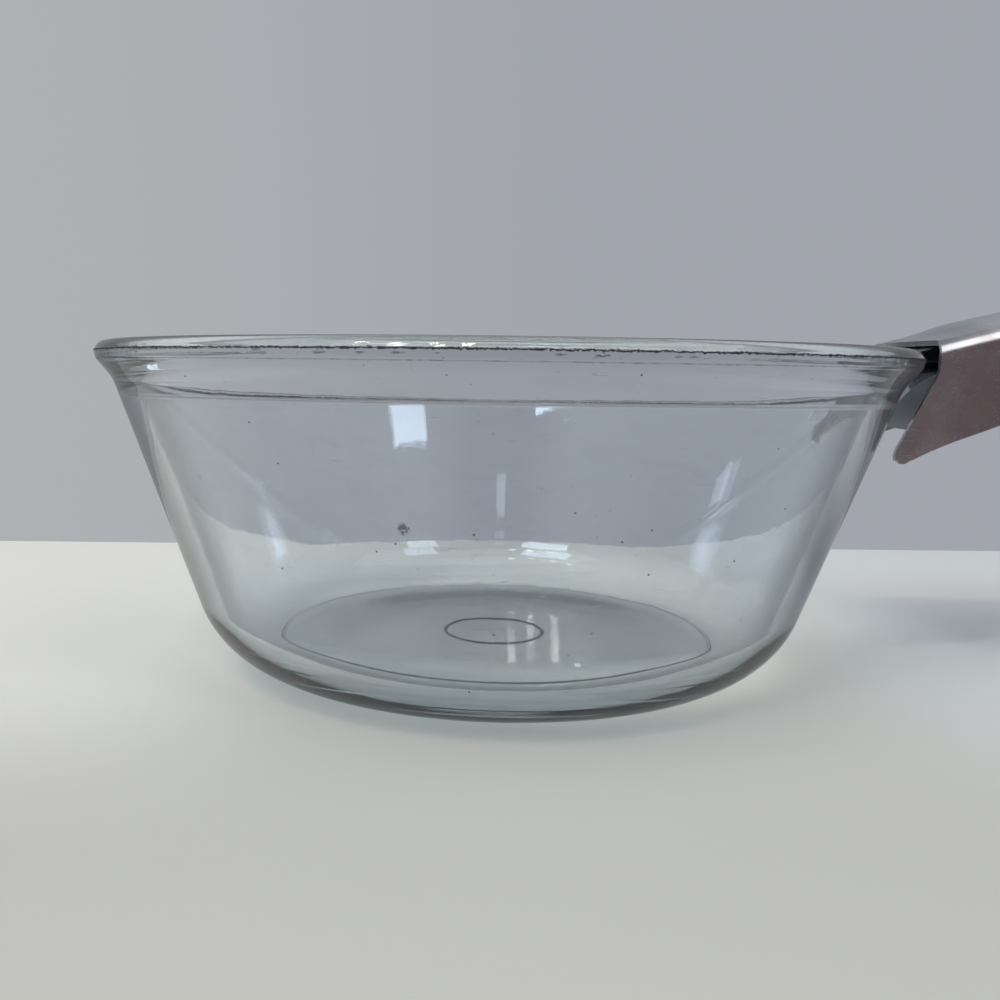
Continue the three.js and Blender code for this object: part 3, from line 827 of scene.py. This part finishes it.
def leaf_spring():
    touch = lever_floor(SPRING_TOUCH) + SHEET + GAP + SPRING_THICKNESS / 2
    bend = spring_seat(SPRING_BEND)
    high, low = SPRING_SWEEP
    sweep = [
        (SPRING_BEND, bend),
        (high, bend - SPRING_EASE),
        (low, touch + SPRING_EASE),
        (SPRING_TOUCH, touch),
    ]
    tip = [
        (SPRING_TOUCH, touch),
        ((SPRING_TOUCH + SPRING_TIP) / 2, touch),
        (SPRING_TIP, touch + SPRING_TIP_LIFT),
    ]
    path = joined(
        line((SPRING_START, spring_seat(SPRING_START)), (SPRING_BEND, bend), 8),
        bezier(sweep, 20),
        bezier(tip, 8),
    )
    half = SPRING_WIDTH / 2
    points = [(x, side * half, z) for x, z in path for side in (-1, 1)]
    faces = [[2 * i, 2 * i + 1, 2 * i + 3, 2 * i + 2] for i in range(len(path) - 1)]
    spring = piece("leaf_spring_strip", points, faces)
    sheet = spring.modifiers.new("sheet", "SOLIDIFY")
    sheet.thickness = SPRING_THICKNESS * MM
    sheet.offset = 0
    rounded_edges(spring, SPRING_EDGE, 2, CUT_ANGLE)
    return even_normals(spring)


def bend_with_lever(spring):
    """The spring's placement is baked into its mesh. Its riveted and free ends are worked out but not used,
    so it does not bend with the lever.
    """
    held = Vector((SPRING_BEND, 0, spring_seat(SPRING_BEND))) * MM
    free = Vector((SPRING_TOUCH, 0, spring_seat(SPRING_BEND))) * MM
    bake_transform(spring)


def spring_rivet():
    tail_top = -(SHEET + SPRING_DROP + SPRING_THICKNESS + GAP)
    tail_end = tail_top - RIVET_TAIL_HEIGHT
    head_top = GAP + RIVET_HEAD_HEIGHT
    head = [
        (RIVET_HEAD_RADIUS, GAP),
        (RIVET_HEAD_RADIUS, head_top - HEAD_EDGE),
        (RIVET_HEAD_RADIUS / 2, head_top),
        (0, head_top),
    ]
    profile = joined(
        [(0, tail_end), (RIVET_TAIL_RADIUS, tail_end), (RIVET_TAIL_RADIUS, tail_top)],
        [(RIVET_RADIUS, tail_top), (RIVET_RADIUS, GAP)],
        bezier(head, 14),
    )
    rivet = turned("spring_rivet_turned", profile, ROUND_STEPS)
    rivet.data.transform(Matrix.Rotation(-math.atan(top_slope(RIVET_AT)), 4, "Y"))
    rivet.data.transform(Matrix.Translation(Vector((RIVET_AT, 0, middle_height(RIVET_AT))) * MM))
    return rounded_edges(rivet, RIVET_EDGE, 2, CUT_ANGLE)


# Finishes

class Signal:
    """A shader socket that Python's operators work on. Each operation adds a Math node."""

    def __init__(self, graph, socket):
        self.graph = graph
        self.socket = socket

    def math(self, operation, *terms):
        return self.graph.add("Math", {"operation": operation}, dict(enumerate([self, *terms])))

    def __add__(self, other):
        return self.math("ADD", other)

    __radd__ = __add__

    def __mul__(self, other):
        return self.math("MULTIPLY", other)

    __rmul__ = __mul__

    def __sub__(self, other):
        return self.math("SUBTRACT", other)

    def __rsub__(self, other):
        return (self * -1).math("ADD", other)

    def __abs__(self):
        return self.math("ABSOLUTE")

    def rise(self, low, high):
        """0 at low and before, 1 at high and past it, eased between. low may be the higher one."""
        settings = {"interpolation_type": "SMOOTHSTEP"}
        sockets = {"Value": self, "From Min": low, "From Max": high}
        return self.graph.add("MapRange", settings, sockets)

    def out(self, name):
        """Another output of the node that this signal comes from."""
        return Signal(self.graph, self.socket.node.outputs[name])


class Graph:
    """The node tree of a finish."""

    def __init__(self, tree):
        self.tree = tree
        tree.nodes.clear()

    def add(self, kind, settings=None, sockets=None, out=0):
        """One node: its type, its settings, then the values or links of its sockets."""
        node = self.tree.nodes.new("ShaderNode" + kind)
        for name, value in (settings or {}).items():
            setattr(node, name, value)
        for name, value in (sockets or {}).items():
            if isinstance(value, Signal):
                self.tree.links.new(value.socket, node.inputs[name])
            else:
                node.inputs[name].default_value = value
        return Signal(self, node.outputs[out]) if len(node.outputs) else node

    def place(self):
        """Where a point lies in the row frame, in millimetres."""
        coords = self.add("TexCoord", out="Object")
        return self.add("VectorMath", {"operation": "SCALE"}, {0: coords, "Scale": 1 / MM})

    def stretched(self, vector, scales):
        return self.add("VectorMath", {"operation": "MULTIPLY"}, {0: vector, 1: scales})

    def turned(self, vector, axis, angle):
        sockets = {0: vector, "Axis": axis, "Angle": angle}
        return self.add("VectorRotate", {"rotation_type": "AXIS_ANGLE"}, sockets)

    def noise(self, vector, size, detail=3, rough=0.55, distort=0):
        """Cloudy pattern from 0 to 1, with features of about that size."""
        sockets = {"Vector": vector, "Scale": 1 / size, "Detail": detail}
        sockets |= {"Roughness": rough, "Distortion": distort}
        return self.add("TexNoise", {}, sockets)

    def cells(self, vector, size):
        """Distance to the nearest of scattered points about that far apart, as a share of the spacing."""
        return self.add("TexVoronoi", {"feature": "F1"}, {"Vector": vector, "Scale": 1 / size})

    def distance(self, vector, point):
        return self.add("VectorMath", {"operation": "DISTANCE"}, {0: vector, 1: point}, out="Value")

    def pits(self, vector, size, reach, rarity):
        """Round pits scattered at that spacing, from 0 to 1: how far each reaches and how rare they are."""
        spots = self.cells(vector, size)
        chance = self.add("SeparateColor", {}, {0: spots.out("Color")})
        return spots.rise(*reach) * chance.rise(rarity, rarity + 0.02)

    def mix(self, share, first, second):
        """A colour between two colours."""
        return self.add("Mix", {"data_type": "RGBA"}, {0: share, 6: first, 7: second}, out=2)

    def bump(self, height, strength, distance):
        return self.add("Bump", {}, {"Height": height, "Strength": strength, "Distance": distance * MM})

    def wavered(self, vector, size, reach):
        """The same places, pushed about by up to half of reach, so that lines drawn on them waver."""
        push = self.noise(vector, size, 2).out("Color")
        centred = self.add("VectorMath", {"operation": "SUBTRACT"}, {0: push, 1: (0.5, 0.5, 0.5)})
        scaled = self.add("VectorMath", {"operation": "SCALE"}, {0: centred, "Scale": reach})
        return self.add("VectorMath", {"operation": "ADD"}, {0: vector, 1: scaled})

    def scratches(self, vector, length, width, rarity):
        """Short straight scratches along X of the vector, from 0 to 1."""
        drawn_out = self.stretched(vector, (1 / length, 1 / width, 1 / width))
        return self.pits(drawn_out, 1, (0.34, 0.1), rarity)


def new_material(name):
    material = bpy.data.materials.new(name)
    material.use_nodes = True
    return material, Graph(material.node_tree)


def tint(red, green, blue):
    return (red, green, blue, 1)


def unrolled(graph, place):
    """Surface of the bowl laid out flat: along the round, up the wall, out from the axis."""
    axes = graph.add("SeparateXYZ", {}, {0: place})
    x, y, z = axes, axes.out("Y"), axes.out("Z")
    turn = y.math("ARCTAN2", x)
    radius = (x * x + y * y).math("SQRT")
    flat = graph.add("CombineXYZ", {}, {0: turn * RIM_RADIUS, 1: z, 2: radius})
    return flat, radius, z


# Marks on the glass: a dark arc on the far side of the floor, a ground ring under the base, and specks by
# place and size
FAR_ARC_CENTRE = (1, 0, FLOOR_THICKNESS)
FAR_ARC_RADIUS = 41
GROUND_RADIUS = 36
SMUDGES = (
    ((-16.2, -78.6, 41.9), 1.5),
    ((-19.7, -87.2, 66.9), 0.32),
    ((-19.4, -88.8, 68.7), 0.25),
)
CLEAR_GLASS = (tint(0.89, 0.908, 0.925), tint(0.915, 0.93, 0.945))
# Tint of the patchy film and of the darker band at the rim
FILM_AND_RIM_TINT = tint(0.76, 0.77, 0.78)
# Painted shade for glass seen edge on
GLASS_EDGE_ON = tint(0.2, 0.21, 0.22)
FAR_ARC_TINT = tint(0.2, 0.24, 0.31)
SCRATCH_TINT = tint(0.14, 0.15, 0.16)
# Grime, also used as painted shade along the crease
GRIME_AND_CREASE_SHADE = tint(0.022, 0.022, 0.024)
# Painted shade for glass seen edge on, also laid on the far floor arc
EDGE_AND_ARC_DARK = tint(0.1, 0.105, 0.11)
# Painted light: see-through glass that lightens the dark line at the ledge
LEDGE_SEE_THROUGH = tint(0.93, 0.93, 0.93)
LIGHT_THROUGH = tint(0.84, 0.85, 0.84)
GLASS_BODY = tint(0.2, 0.42, 0.57)
GLASS_DENSITY = 20
GLASS_IOR = 1.5


class GlassMarks:
    """Wear and dirt of the pan, and the places where light and shade are painted on it, each from 0 to 1,
    worked out from where a point lies on it.
    """

    def __init__(self, graph):
        self.graph = graph
        self.place = graph.place()
        self.flat, self.radius, self.height = unrolled(graph, self.place)
        self.depth = graph.add("SeparateXYZ", {}, {0: self.place}).out("Y")
        self.cloud = graph.noise(self.place, 34, 4)
        self.smear = graph.noise(graph.stretched(self.flat, (0.3, 1, 1)), 9, 5, 0.65, 0.6)
        self.ragged = graph.noise(self.place, 1.2, 3, 0.7)
        self.shake = (self.ragged - 0.5) * 0.9
        self.on_floor = abs(self.height - FLOOR_THICKNESS).rise(1.2, 0.8)

    def scratches(self):
        """Level scratches round the wall, and slanted ones."""
        wavy = self.graph.wavered(self.flat, 2.5, 1.4)
        along = self.graph.scratches(wavy, 6.5, 0.28, 0.972)
        slanted = self.graph.scratches(self.graph.turned(wavy, (0, 0, 1), 1.1), 5, 0.26, 0.978)
        return along.math("MAXIMUM", slanted)

    def rim_lines(self):
        """Dirt in the chipped mould seam, and painted shade along the crease under the band."""
        jitter = (self.graph.noise(self.place, 0.6, 3, 0.75) - 0.5) * 0.8
        outside = self.radius.rise(RIM_RADIUS - 1.2, RIM_RADIUS - 0.9)
        seam_line = abs(self.height - SEAM_HEIGHT + self.shake * 0.4 + jitter).rise(0.22, 0.1)
        seam = seam_line * outside * self.ragged.rise(0.26, 0.38)
        # Painted shade: a dark line along the crease under the band
        crease_shade_line = abs(self.height - BAND_FOOT + jitter * 0.2).rise(0.16, 0.05)
        crease_shade = crease_shade_line * outside * (0.4 + 0.6 * self.ragged.rise(0.5, 0.6))
        return seam, crease_shade

    def floor_rings(self):
        """Dirt along the two mould rings of the floor."""
        small = abs(self.radius - MOULD_RING_RADIUS + self.shake * 0.2).rise(0.5, 0.25)
        large = abs(self.radius - FLOOR_RING_RADIUS + self.shake * 0.9).rise(1.3, 0.2)
        return small.math("MAXIMUM", large * 0.35) * self.on_floor * self.ragged.rise(0.25, 0.6)

    def far_floor_arc(self):
        """A darker bluish arc on the far side of the floor."""
        # A darker bluish arc on the far side of the floor
        away = self.graph.distance(self.place, FAR_ARC_CENTRE) - FAR_ARC_RADIUS
        return abs(away + self.shake * 3).rise(9, 1) * self.on_floor * self.depth.rise(12, 34)

    def scuffs(self):
        """Rubbed patches on the near side of the heel."""
        heel = self.height.rise(14, 7) * self.radius.rise(48, 60)
        return heel * self.smear.rise(0.58, 0.7) * self.depth.rise(-15, -35)

    def ground(self):
        """Where the base has stood on hobs, the glass is ground dull."""
        ring = abs(self.radius - GROUND_RADIUS).rise(15, 1)
        return ring * self.height.rise(0.4, 0.1) * (0.35 + 0.65 * self.cloud.rise(0.35, 0.6))

    def specks(self):
        grit = self.graph.noise(self.place, 0.55, 3, 0.75).rise(0.36, 0.54)
        for centre, size in SMUDGES:
            away = self.graph.distance(self.place, centre) + self.shake * 1.8 * size
            yield away.rise(size, 0.4 * size) * grit * 0.7

    # Painted light: where the dark line of the ledge is lightened by mixing in see-through glass
    def ledge_lightening(self):
        inside = self.radius.rise(COLLAR_RADIUS + 0.3, COLLAR_RADIUS + 0.15)
        return abs(self.height - LEDGE_HEIGHT).rise(0.5, 0.3) * inside


def glass_colour(marks, scratches, far_floor_arc, glancing):
    """Clear glass with a patchy film, darker from the band at the rim upwards, and with painted shade where
    it is seen edge on.
    """
    mix = marks.graph.mix
    clean = mix(marks.cloud.rise(0.3, 0.7), *CLEAR_GLASS)
    # Darker from the band at the rim upwards
    rim_band_share = marks.height.rise(BAND_FOOT - 1, SEAM_HEIGHT) * 0.8
    film_and_rim_band = (marks.smear.rise(0.5, 0.78) * 0.5).math("MAXIMUM", rim_band_share)
    edged = mix(glancing, mix(film_and_rim_band, clean, FILM_AND_RIM_TINT), GLASS_EDGE_ON)
    return mix(scratches * 0.5, mix(far_floor_arc * 0.8, edged, FAR_ARC_TINT), SCRATCH_TINT)


def pressed_glass():
    material, graph = new_material("pressed_glass")
    marks = GlassMarks(graph)
    scratches = marks.scratches()
    pits = graph.pits(marks.place, 4.2, (0.06, 0.03), 0.7)
    seam, crease_shade = marks.rim_lines()
    rings = marks.floor_rings()
    far_floor_arc = marks.far_floor_arc()
    # Painted shade: the glass is darkened where it is seen edge on, in its tint and by a dark layer
    glancing = graph.add("LayerWeight", {}, {"Blend": 0.5}, out="Facing").rise(0.55, 0.9)
    dirt_and_crease_shade = seam * 0.95
    for soil in (crease_shade * 0.45, rings * 0.4, pits * 0.9, *marks.specks()):
        dirt_and_crease_shade = dirt_and_crease_shade.math("MAXIMUM", soil)
    haze = 0.012 + 0.04 * marks.smear.rise(0.5, 0.8) + 0.02 * marks.cloud.rise(0.45, 0.75)
    rubbed = 0.12 * scratches + 0.15 * marks.ground() + 0.15 * marks.scuffs()
    waves = graph.noise(marks.place, 7, 2) * 0.35 + marks.smear * marks.on_floor * 0.6
    relief = waves - scratches * 0.1 - pits * 0.4 - seam * 0.3
    glass = graph.add("BsdfPrincipled", {}, {
        "Base Color": glass_colour(marks, scratches, far_floor_arc, glancing),
        "Roughness": haze + rubbed + 0.2 * crease_shade + 0.25 * rings,
        "IOR": GLASS_IOR,
        "Transmission Weight": 1.0,
        "Normal": graph.bump(relief, 0.35, 0.12),
    })

    # Layers over the clean glass: grime that hides it, with painted shade along the crease; a dark layer of
    # painted shade where the glass is seen edge on, also laid on the far floor arc; and see-through glass
    # mixed in, painted light that lightens the ledge line
    grime_and_crease_shade = graph.add("BsdfDiffuse", {}, {"Color": GRIME_AND_CREASE_SHADE})
    soiled_and_crease_shaded = graph.add("MixShader", {}, {0: dirt_and_crease_shade, 1: glass, 2: grime_and_crease_shade})
    edge_and_arc_dark_layer = graph.add("BsdfDiffuse", {}, {"Color": EDGE_AND_ARC_DARK})
    edge_and_arc_share = (glancing * 0.38).math("MAXIMUM", far_floor_arc * 0.6)
    edge_and_arc_darkened = graph.add("MixShader", {}, {0: edge_and_arc_share, 1: soiled_and_crease_shaded, 2: edge_and_arc_dark_layer})
    ledge_see_through = graph.add("BsdfTransparent", {}, {"Color": LEDGE_SEE_THROUGH})
    eased = graph.add("MixShader", {}, {0: marks.ledge_lightening() * 0.6, 1: edge_and_arc_darkened, 2: ledge_see_through})
    clear = graph.add("BsdfTransparent", {}, {"Color": LIGHT_THROUGH})
    lamps = graph.add("LightPath", {}, {}, out="Is Shadow Ray")
    surface = graph.add("MixShader", {}, {0: lamps, 1: eased, 2: clear})
    body = graph.add("VolumeAbsorption", {}, {"Color": GLASS_BODY, "Density": GLASS_DENSITY})
    graph.add("OutputMaterial", {}, {"Surface": surface, "Volume": body})
    return material


def sheet_steel(name, bright, stained, base_rough, stain_share, brushed):
    """Scratched and pitted sheet, with the bright colour showing between stains."""
    material, graph = new_material(name)
    place = graph.place()
    cloud = graph.noise(place, 11, 5, 0.6)
    patches = graph.noise(place, 26, 4, 0.65, 0.8)
    grain = graph.noise(graph.stretched(place, (0.06, 1, 1)), 0.35, 3)
    long_marks = graph.scratches(place, 9, 0.16, 0.82)
    cross_marks = graph.scratches(graph.turned(place, (0, 1, 0), 0.9), 5, 0.14, 0.88)
    back_marks = graph.scratches(graph.turned(place, (0, 1, 0), -0.7), 6, 0.14, 0.9)
    marks = long_marks.math("MAXIMUM", cross_marks).math("MAXIMUM", back_marks)
    pits = graph.pits(place, 1.7, (0.16, 0.06), 0.8)
    stain = patches.rise(0.46, 0.72) * stain_share + pits * 0.45
    colour = graph.mix(stain, bright, stained)
    roughness = base_rough + 0.08 * cloud.rise(0.35, 0.75) + 0.1 * marks + 0.15 * pits + 0.08 * stain
    relief = grain * brushed - marks * 0.08 - pits * 0.1 + cloud * 0.6
    steel = graph.add("BsdfPrincipled", {}, {
        "Base Color": colour,
        "Roughness": roughness,
        "Metallic": 1.0,
        "Specular Tint": tint(0.86, 0.86, 0.88),
        "Normal": graph.bump(relief, 0.2, 0.05),
    })
    graph.add("OutputMaterial", {}, {"Surface": steel})
    return material


# Steel by its slot: name, bright and stained colours, roughness, share of stain and depth of brushing
STEELS = {
    "plated_steel": ("plated_sheet", tint(0.64, 0.635, 0.645), tint(0.47, 0.39, 0.38), 0.19, 0.7, 0.25),
    "dull_steel": ("dull_sheet", tint(0.29, 0.3, 0.31), tint(0.24, 0.22, 0.2), 0.4, 0.6, 0.8),
    "rivet_steel": ("rivet_plating", tint(0.7, 0.7, 0.71), tint(0.4, 0.36, 0.34), 0.2, 0.5, 0.2),
    "spring_steel": ("blued_spring", tint(0.3, 0.31, 0.35), tint(0.2, 0.17, 0.15), 0.3, 0.7, 0.6),
}


def finishes():
    looks = {slot: sheet_steel(*steel) for slot, steel in STEELS.items()}
    looks["tinted_glass"] = pressed_glass()
    return looks


def fit_pieces():
    """Make every piece, dress it in its finish and let it ride on its body, but for the spring, which rides
    on none. The lever is already there.
    """
    looks = finishes()
    made = [
        (glass_bowl(), "glass_bowl"),
        (handle_shell(), "handle_shell"),
        (pivot_pin(), "pivot_pin"),
        (pivot_sleeve(), "pivot_sleeve"),
        (leaf_spring(), "leaf_spring"),
        (spring_rivet(), "spring_rivet"),
        (clamp_lever(), "clamp_lever"),
    ]
    bodies = frame["record"]["behaviour"]["bodies"]
    body_of = {node: body for body, nodes in bodies.items() for node in nodes}
    slot_of = {part["node"]: part["material_slot"] for part in frame["record"]["subparts"]}
    for obj, node in made:
        slot = slot_of[node]
        obj.data.materials.clear()
        obj.data.materials.append(looks[slot])
        if obj.name == node:
            continue
        if node == "leaf_spring":
            bend_with_lever(obj)
        else:
            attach(obj, body_of[node])
        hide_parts(node)


# Stage, light and camera

FLOOR_GAP = 0.15
TABLE_FRONT = -215
TABLE_BACK_LEFT = 102
TABLE_BACK_RIGHT = 212
TABLE_LEFT = -700
TABLE_RIGHT = 900
TABLE_THICKNESS = 30
TABLE_EDGE = 4
TABLE_EDGE_ANGLE = math.radians(40)
# Painted light on the backdrop: lighter on the left, darker on the right
BACKDROP_LIT_LEFT = tint(0.423, 0.434, 0.451)
BACKDROP_SHADED_RIGHT = tint(0.36, 0.376, 0.416)
ROOM_DARK = tint(0.13, 0.098, 0.105)
CEILING_MIDDLE = tint(0.16, 0.17, 0.19)
CEILING_SIDES = tint(0.9, 0.93, 0.98)
BACKDROP_FADE = (-0.42, 0.12)
ROOM_FRONT = (0.25, -0.2)
ROOM_OVERHEAD = (0.25, 0.6)
CEILING_ASIDE = (0.12, 0.55)
# Painted light and shade on the table: darker in the middle under the pan, lighter to the left and right,
# darker in front
TABLE_SHADED_MIDDLE = tint(0.465, 0.457, 0.435)
TABLE_LIT_LEFT = tint(0.62, 0.61, 0.57)
TABLE_LIT_RIGHT = tint(0.505, 0.52, 0.53)
TABLE_SHADED_FRONT = tint(0.43, 0.425, 0.395)
TABLE_FADE_LEFT = (-25, -95)
TABLE_FADE_RIGHT = (60, 120)
TABLE_FADE_FRONT = (-30, -115)

# Lamps by their direction as the far side of the pan sees them: azimuth from the camera side towards the
# handle, elevation, width, height (all in degrees), radiance and colour
LAMP_SIGHT = (0, 70, 40)
LAMP_DISTANCE = 1800
LAMP_LEANS = {"window_right": -0.13}
WINDOW = (0.72, 0.86, 1.0)
WARM = (1.0, 0.93, 0.78)
LAMPS = {
    "window_right": (39.5, 39.2, 12.4, 12, 8, WINDOW),
    "window_middle": (-2.6, 31.2, 3.5, 3, 2.5, WINDOW),
    "window_left": (-28, 42.9, 18, 11.2, 11, WINDOW),
    "side_right": (118, 13, 7, 5.5, 3, WINDOW),
    "side_left": (-108, 18, 6, 9, 3, WINDOW),
    "bulb_near": (-11, 55, 2.4, 2.4, 170, WARM),
    "bulb_middle": (-22, 53, 2.4, 2.4, 170, WARM),
    "bulb_far": (-36, 52.7, 2.4, 2.4, 170, WARM),
    "bulb_last": (-49, 55, 2.2, 2.2, 170, WARM),
}
SOFTBOX_PLACE = (150, -420, 1500)
SOFTBOX_SIZE = (2400, 900)
SOFTBOX_RADIANCE = 1.1
SOFTBOX_COLOUR = (1, 0.99, 0.97)
STRIP_PLACE = (300, -800, 850)
STRIP_SIZE = (1800, 1000)
STRIP_RADIANCE = 1.02
STRIP_COLOUR = (0.95, 0.98, 1)
METAL_PIECES = (
    "handle_shell_sheet",
    "clamp_lever",
    "pivot_pin_turned",
    "pivot_sleeve_turned",
    "leaf_spring_strip",
    "spring_rivet_turned",
)


def aim(obj, target, lean):
    direction = Vector(target) * MM - obj.location
    obj.rotation_mode = "QUATERNION"
    obj.rotation_quaternion = direction.to_track_quat("-Z", "Y") @ Quaternion((0, 0, 1), lean)


def lit_pieces(name, pieces):
    """The group of pieces that a lamp lights."""
    group = bpy.data.collections.new(name)
    for title in pieces:
        group.objects.link(bpy.data.objects[title])
    return group


def area_lamp(name, place, size, radiance, colour, group, lean=0):
    """A soft lamp whose surface has that radiance. It points at the pan and lights one group of pieces."""
    lamp = bpy.data.lights.new(name, "AREA")
    lamp.shape = "RECTANGLE"
    lamp.size = size[0] * MM
    lamp.size_y = size[1] * MM
    lamp.energy = radiance * math.pi * lamp.size * lamp.size_y
    lamp.color = colour
    obj = bpy.data.objects.new(name, lamp)
    obj.location = Vector(place) * MM
    aim(obj, LAMP_SIGHT, lean)
    obj.visible_camera = False
    obj.light_linking.receiver_collection = group
    bpy.context.scene.collection.objects.link(obj)


def lamp_place(azimuth, elevation):
    around = math.radians(azimuth)
    up = math.radians(elevation)
    towards = (math.sin(around) * math.cos(up), -math.cos(around) * math.cos(up), math.sin(up))
    return Vector(LAMP_SIGHT) + LAMP_DISTANCE * Vector(towards)


def light_the_stage():
    """The windows, bulbs and softbox light the glass and the table, and a strip lights the handle."""
    lit = lit_pieces("lit_by_windows", ("glass_bowl_pressed", "table"))
    metal = lit_pieces("lit_by_strip", METAL_PIECES)
    for name, (azimuth, elevation, width, height, radiance, colour) in LAMPS.items():
        place = lamp_place(azimuth, elevation)
        size = [2 * LAMP_DISTANCE * math.tan(math.radians(angle) / 2) for angle in (width, height)]
        area_lamp(name, place, size, radiance, colour, lit, LAMP_LEANS.get(name, 0))
    area_lamp("softbox", SOFTBOX_PLACE, SOFTBOX_SIZE, SOFTBOX_RADIANCE, SOFTBOX_COLOUR, lit)
    area_lamp("strip", STRIP_PLACE, STRIP_SIZE, STRIP_RADIANCE, STRIP_COLOUR, metal)


def room():
    """The world: a backdrop to look at and to see through the glass, with painted light that makes it
    lighter on the left and darker on the right, and a room for mirrored rays.
    """
    world = bpy.data.worlds.new("room")
    bpy.context.scene.world = world
    world.use_nodes = True
    graph = Graph(world.node_tree)
    axes = graph.add("SeparateXYZ", {}, {0: graph.add("TexCoord", out="Generated")})
    front = axes.out("Y").rise(*ROOM_FRONT)
    overhead = axes.out("Z").rise(*ROOM_OVERHEAD)
    aside = abs(axes.out("X")).rise(*CEILING_ASIDE)
    backdrop = graph.mix(axes.rise(*BACKDROP_FADE), BACKDROP_LIT_LEFT, BACKDROP_SHADED_RIGHT)
    walls = graph.mix(front, backdrop, ROOM_DARK)
    mirrored = graph.mix(overhead, walls, graph.mix(aside, CEILING_MIDDLE, CEILING_SIDES))
    path = graph.add("LightPath", out="Is Camera Ray")
    straight = path.out("Glossy Depth").rise(0.6, 0.4)
    seen = path.math("MAXIMUM", path.out("Is Transmission Ray") * straight)
    colour = graph.mix(seen, mirrored, backdrop)
    back = graph.add("Background", {}, {"Color": colour, "Strength": 1})
    graph.add("OutputWorld", {}, {"Surface": back})


def table():
    """A pale table top, a hair below the pan so that the two faces never coincide, with painted light and
    shade: lighter to the left and right, darker in the middle under the pan and in front.
    """
    corners = [
        (TABLE_LEFT, TABLE_FRONT),
        (TABLE_RIGHT, TABLE_FRONT),
        (TABLE_RIGHT, TABLE_BACK_RIGHT),
        (TABLE_LEFT, TABLE_BACK_LEFT),
    ]
    height = {-1: -FLOOR_GAP - TABLE_THICKNESS, 1: -FLOOR_GAP}
    top = extruded("table", corners, lambda p, s: (p[0], p[1], height[s]))
    rounded_edges(top, TABLE_EDGE, 4, TABLE_EDGE_ANGLE)
    even_normals(top)
    material, graph = new_material("table_top")
    place = graph.place()
    axes = graph.add("SeparateXYZ", {}, {0: place})
    weave = graph.noise(place, 0.9, 2)
    # Painted light and shade: lighter to the left and right, darker in the middle and in front
    leftwards = graph.mix(axes.rise(*TABLE_FADE_LEFT), TABLE_SHADED_MIDDLE, TABLE_LIT_LEFT)
    rightwards = graph.mix(axes.rise(*TABLE_FADE_RIGHT), leftwards, TABLE_LIT_RIGHT)
    colour = graph.mix(axes.out("Y").rise(*TABLE_FADE_FRONT), rightwards, TABLE_SHADED_FRONT)
    sockets = {"Base Color": colour, "Roughness": 0.8, "Normal": graph.bump(weave, 0.15, 0.05)}
    sockets["Specular IOR Level"] = 0.2
    graph.add("OutputMaterial", {}, {"Surface": graph.add("BsdfPrincipled", {}, sockets)})
    top.data.materials.append(material)
    top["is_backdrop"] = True


def camera():
    data = bpy.data.cameras.new("camera")
    data.lens = CAMERA_LENS
    data.shift_x = CAMERA_SHIFT
    data.clip_start = CAMERA_NEAR * MM
    obj = bpy.data.objects.new("camera", data)
    bpy.context.scene.collection.objects.link(obj)
    turn = Matrix.Rotation(CAMERA_TURN, 4, "Z")
    tilt = Matrix.Rotation(math.pi / 2 - CAMERA_PITCH, 4, "X")
    roll = Matrix.Rotation(CAMERA_ROLL, 4, "Z")
    obj.matrix_world = Matrix.Translation(Vector(CAMERA_PLACE) * MM) @ turn @ tilt @ roll
    bpy.context.scene.camera = obj


camera()
fit_pieces()
table()
room()
light_the_stage()
bpy.context.scene.view_settings.view_transform = "Standard"

boxes = {"cad": CAD_BOX, "visual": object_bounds()}
{name: [list(corner) for corner in box] for name, box in boxes.items()}
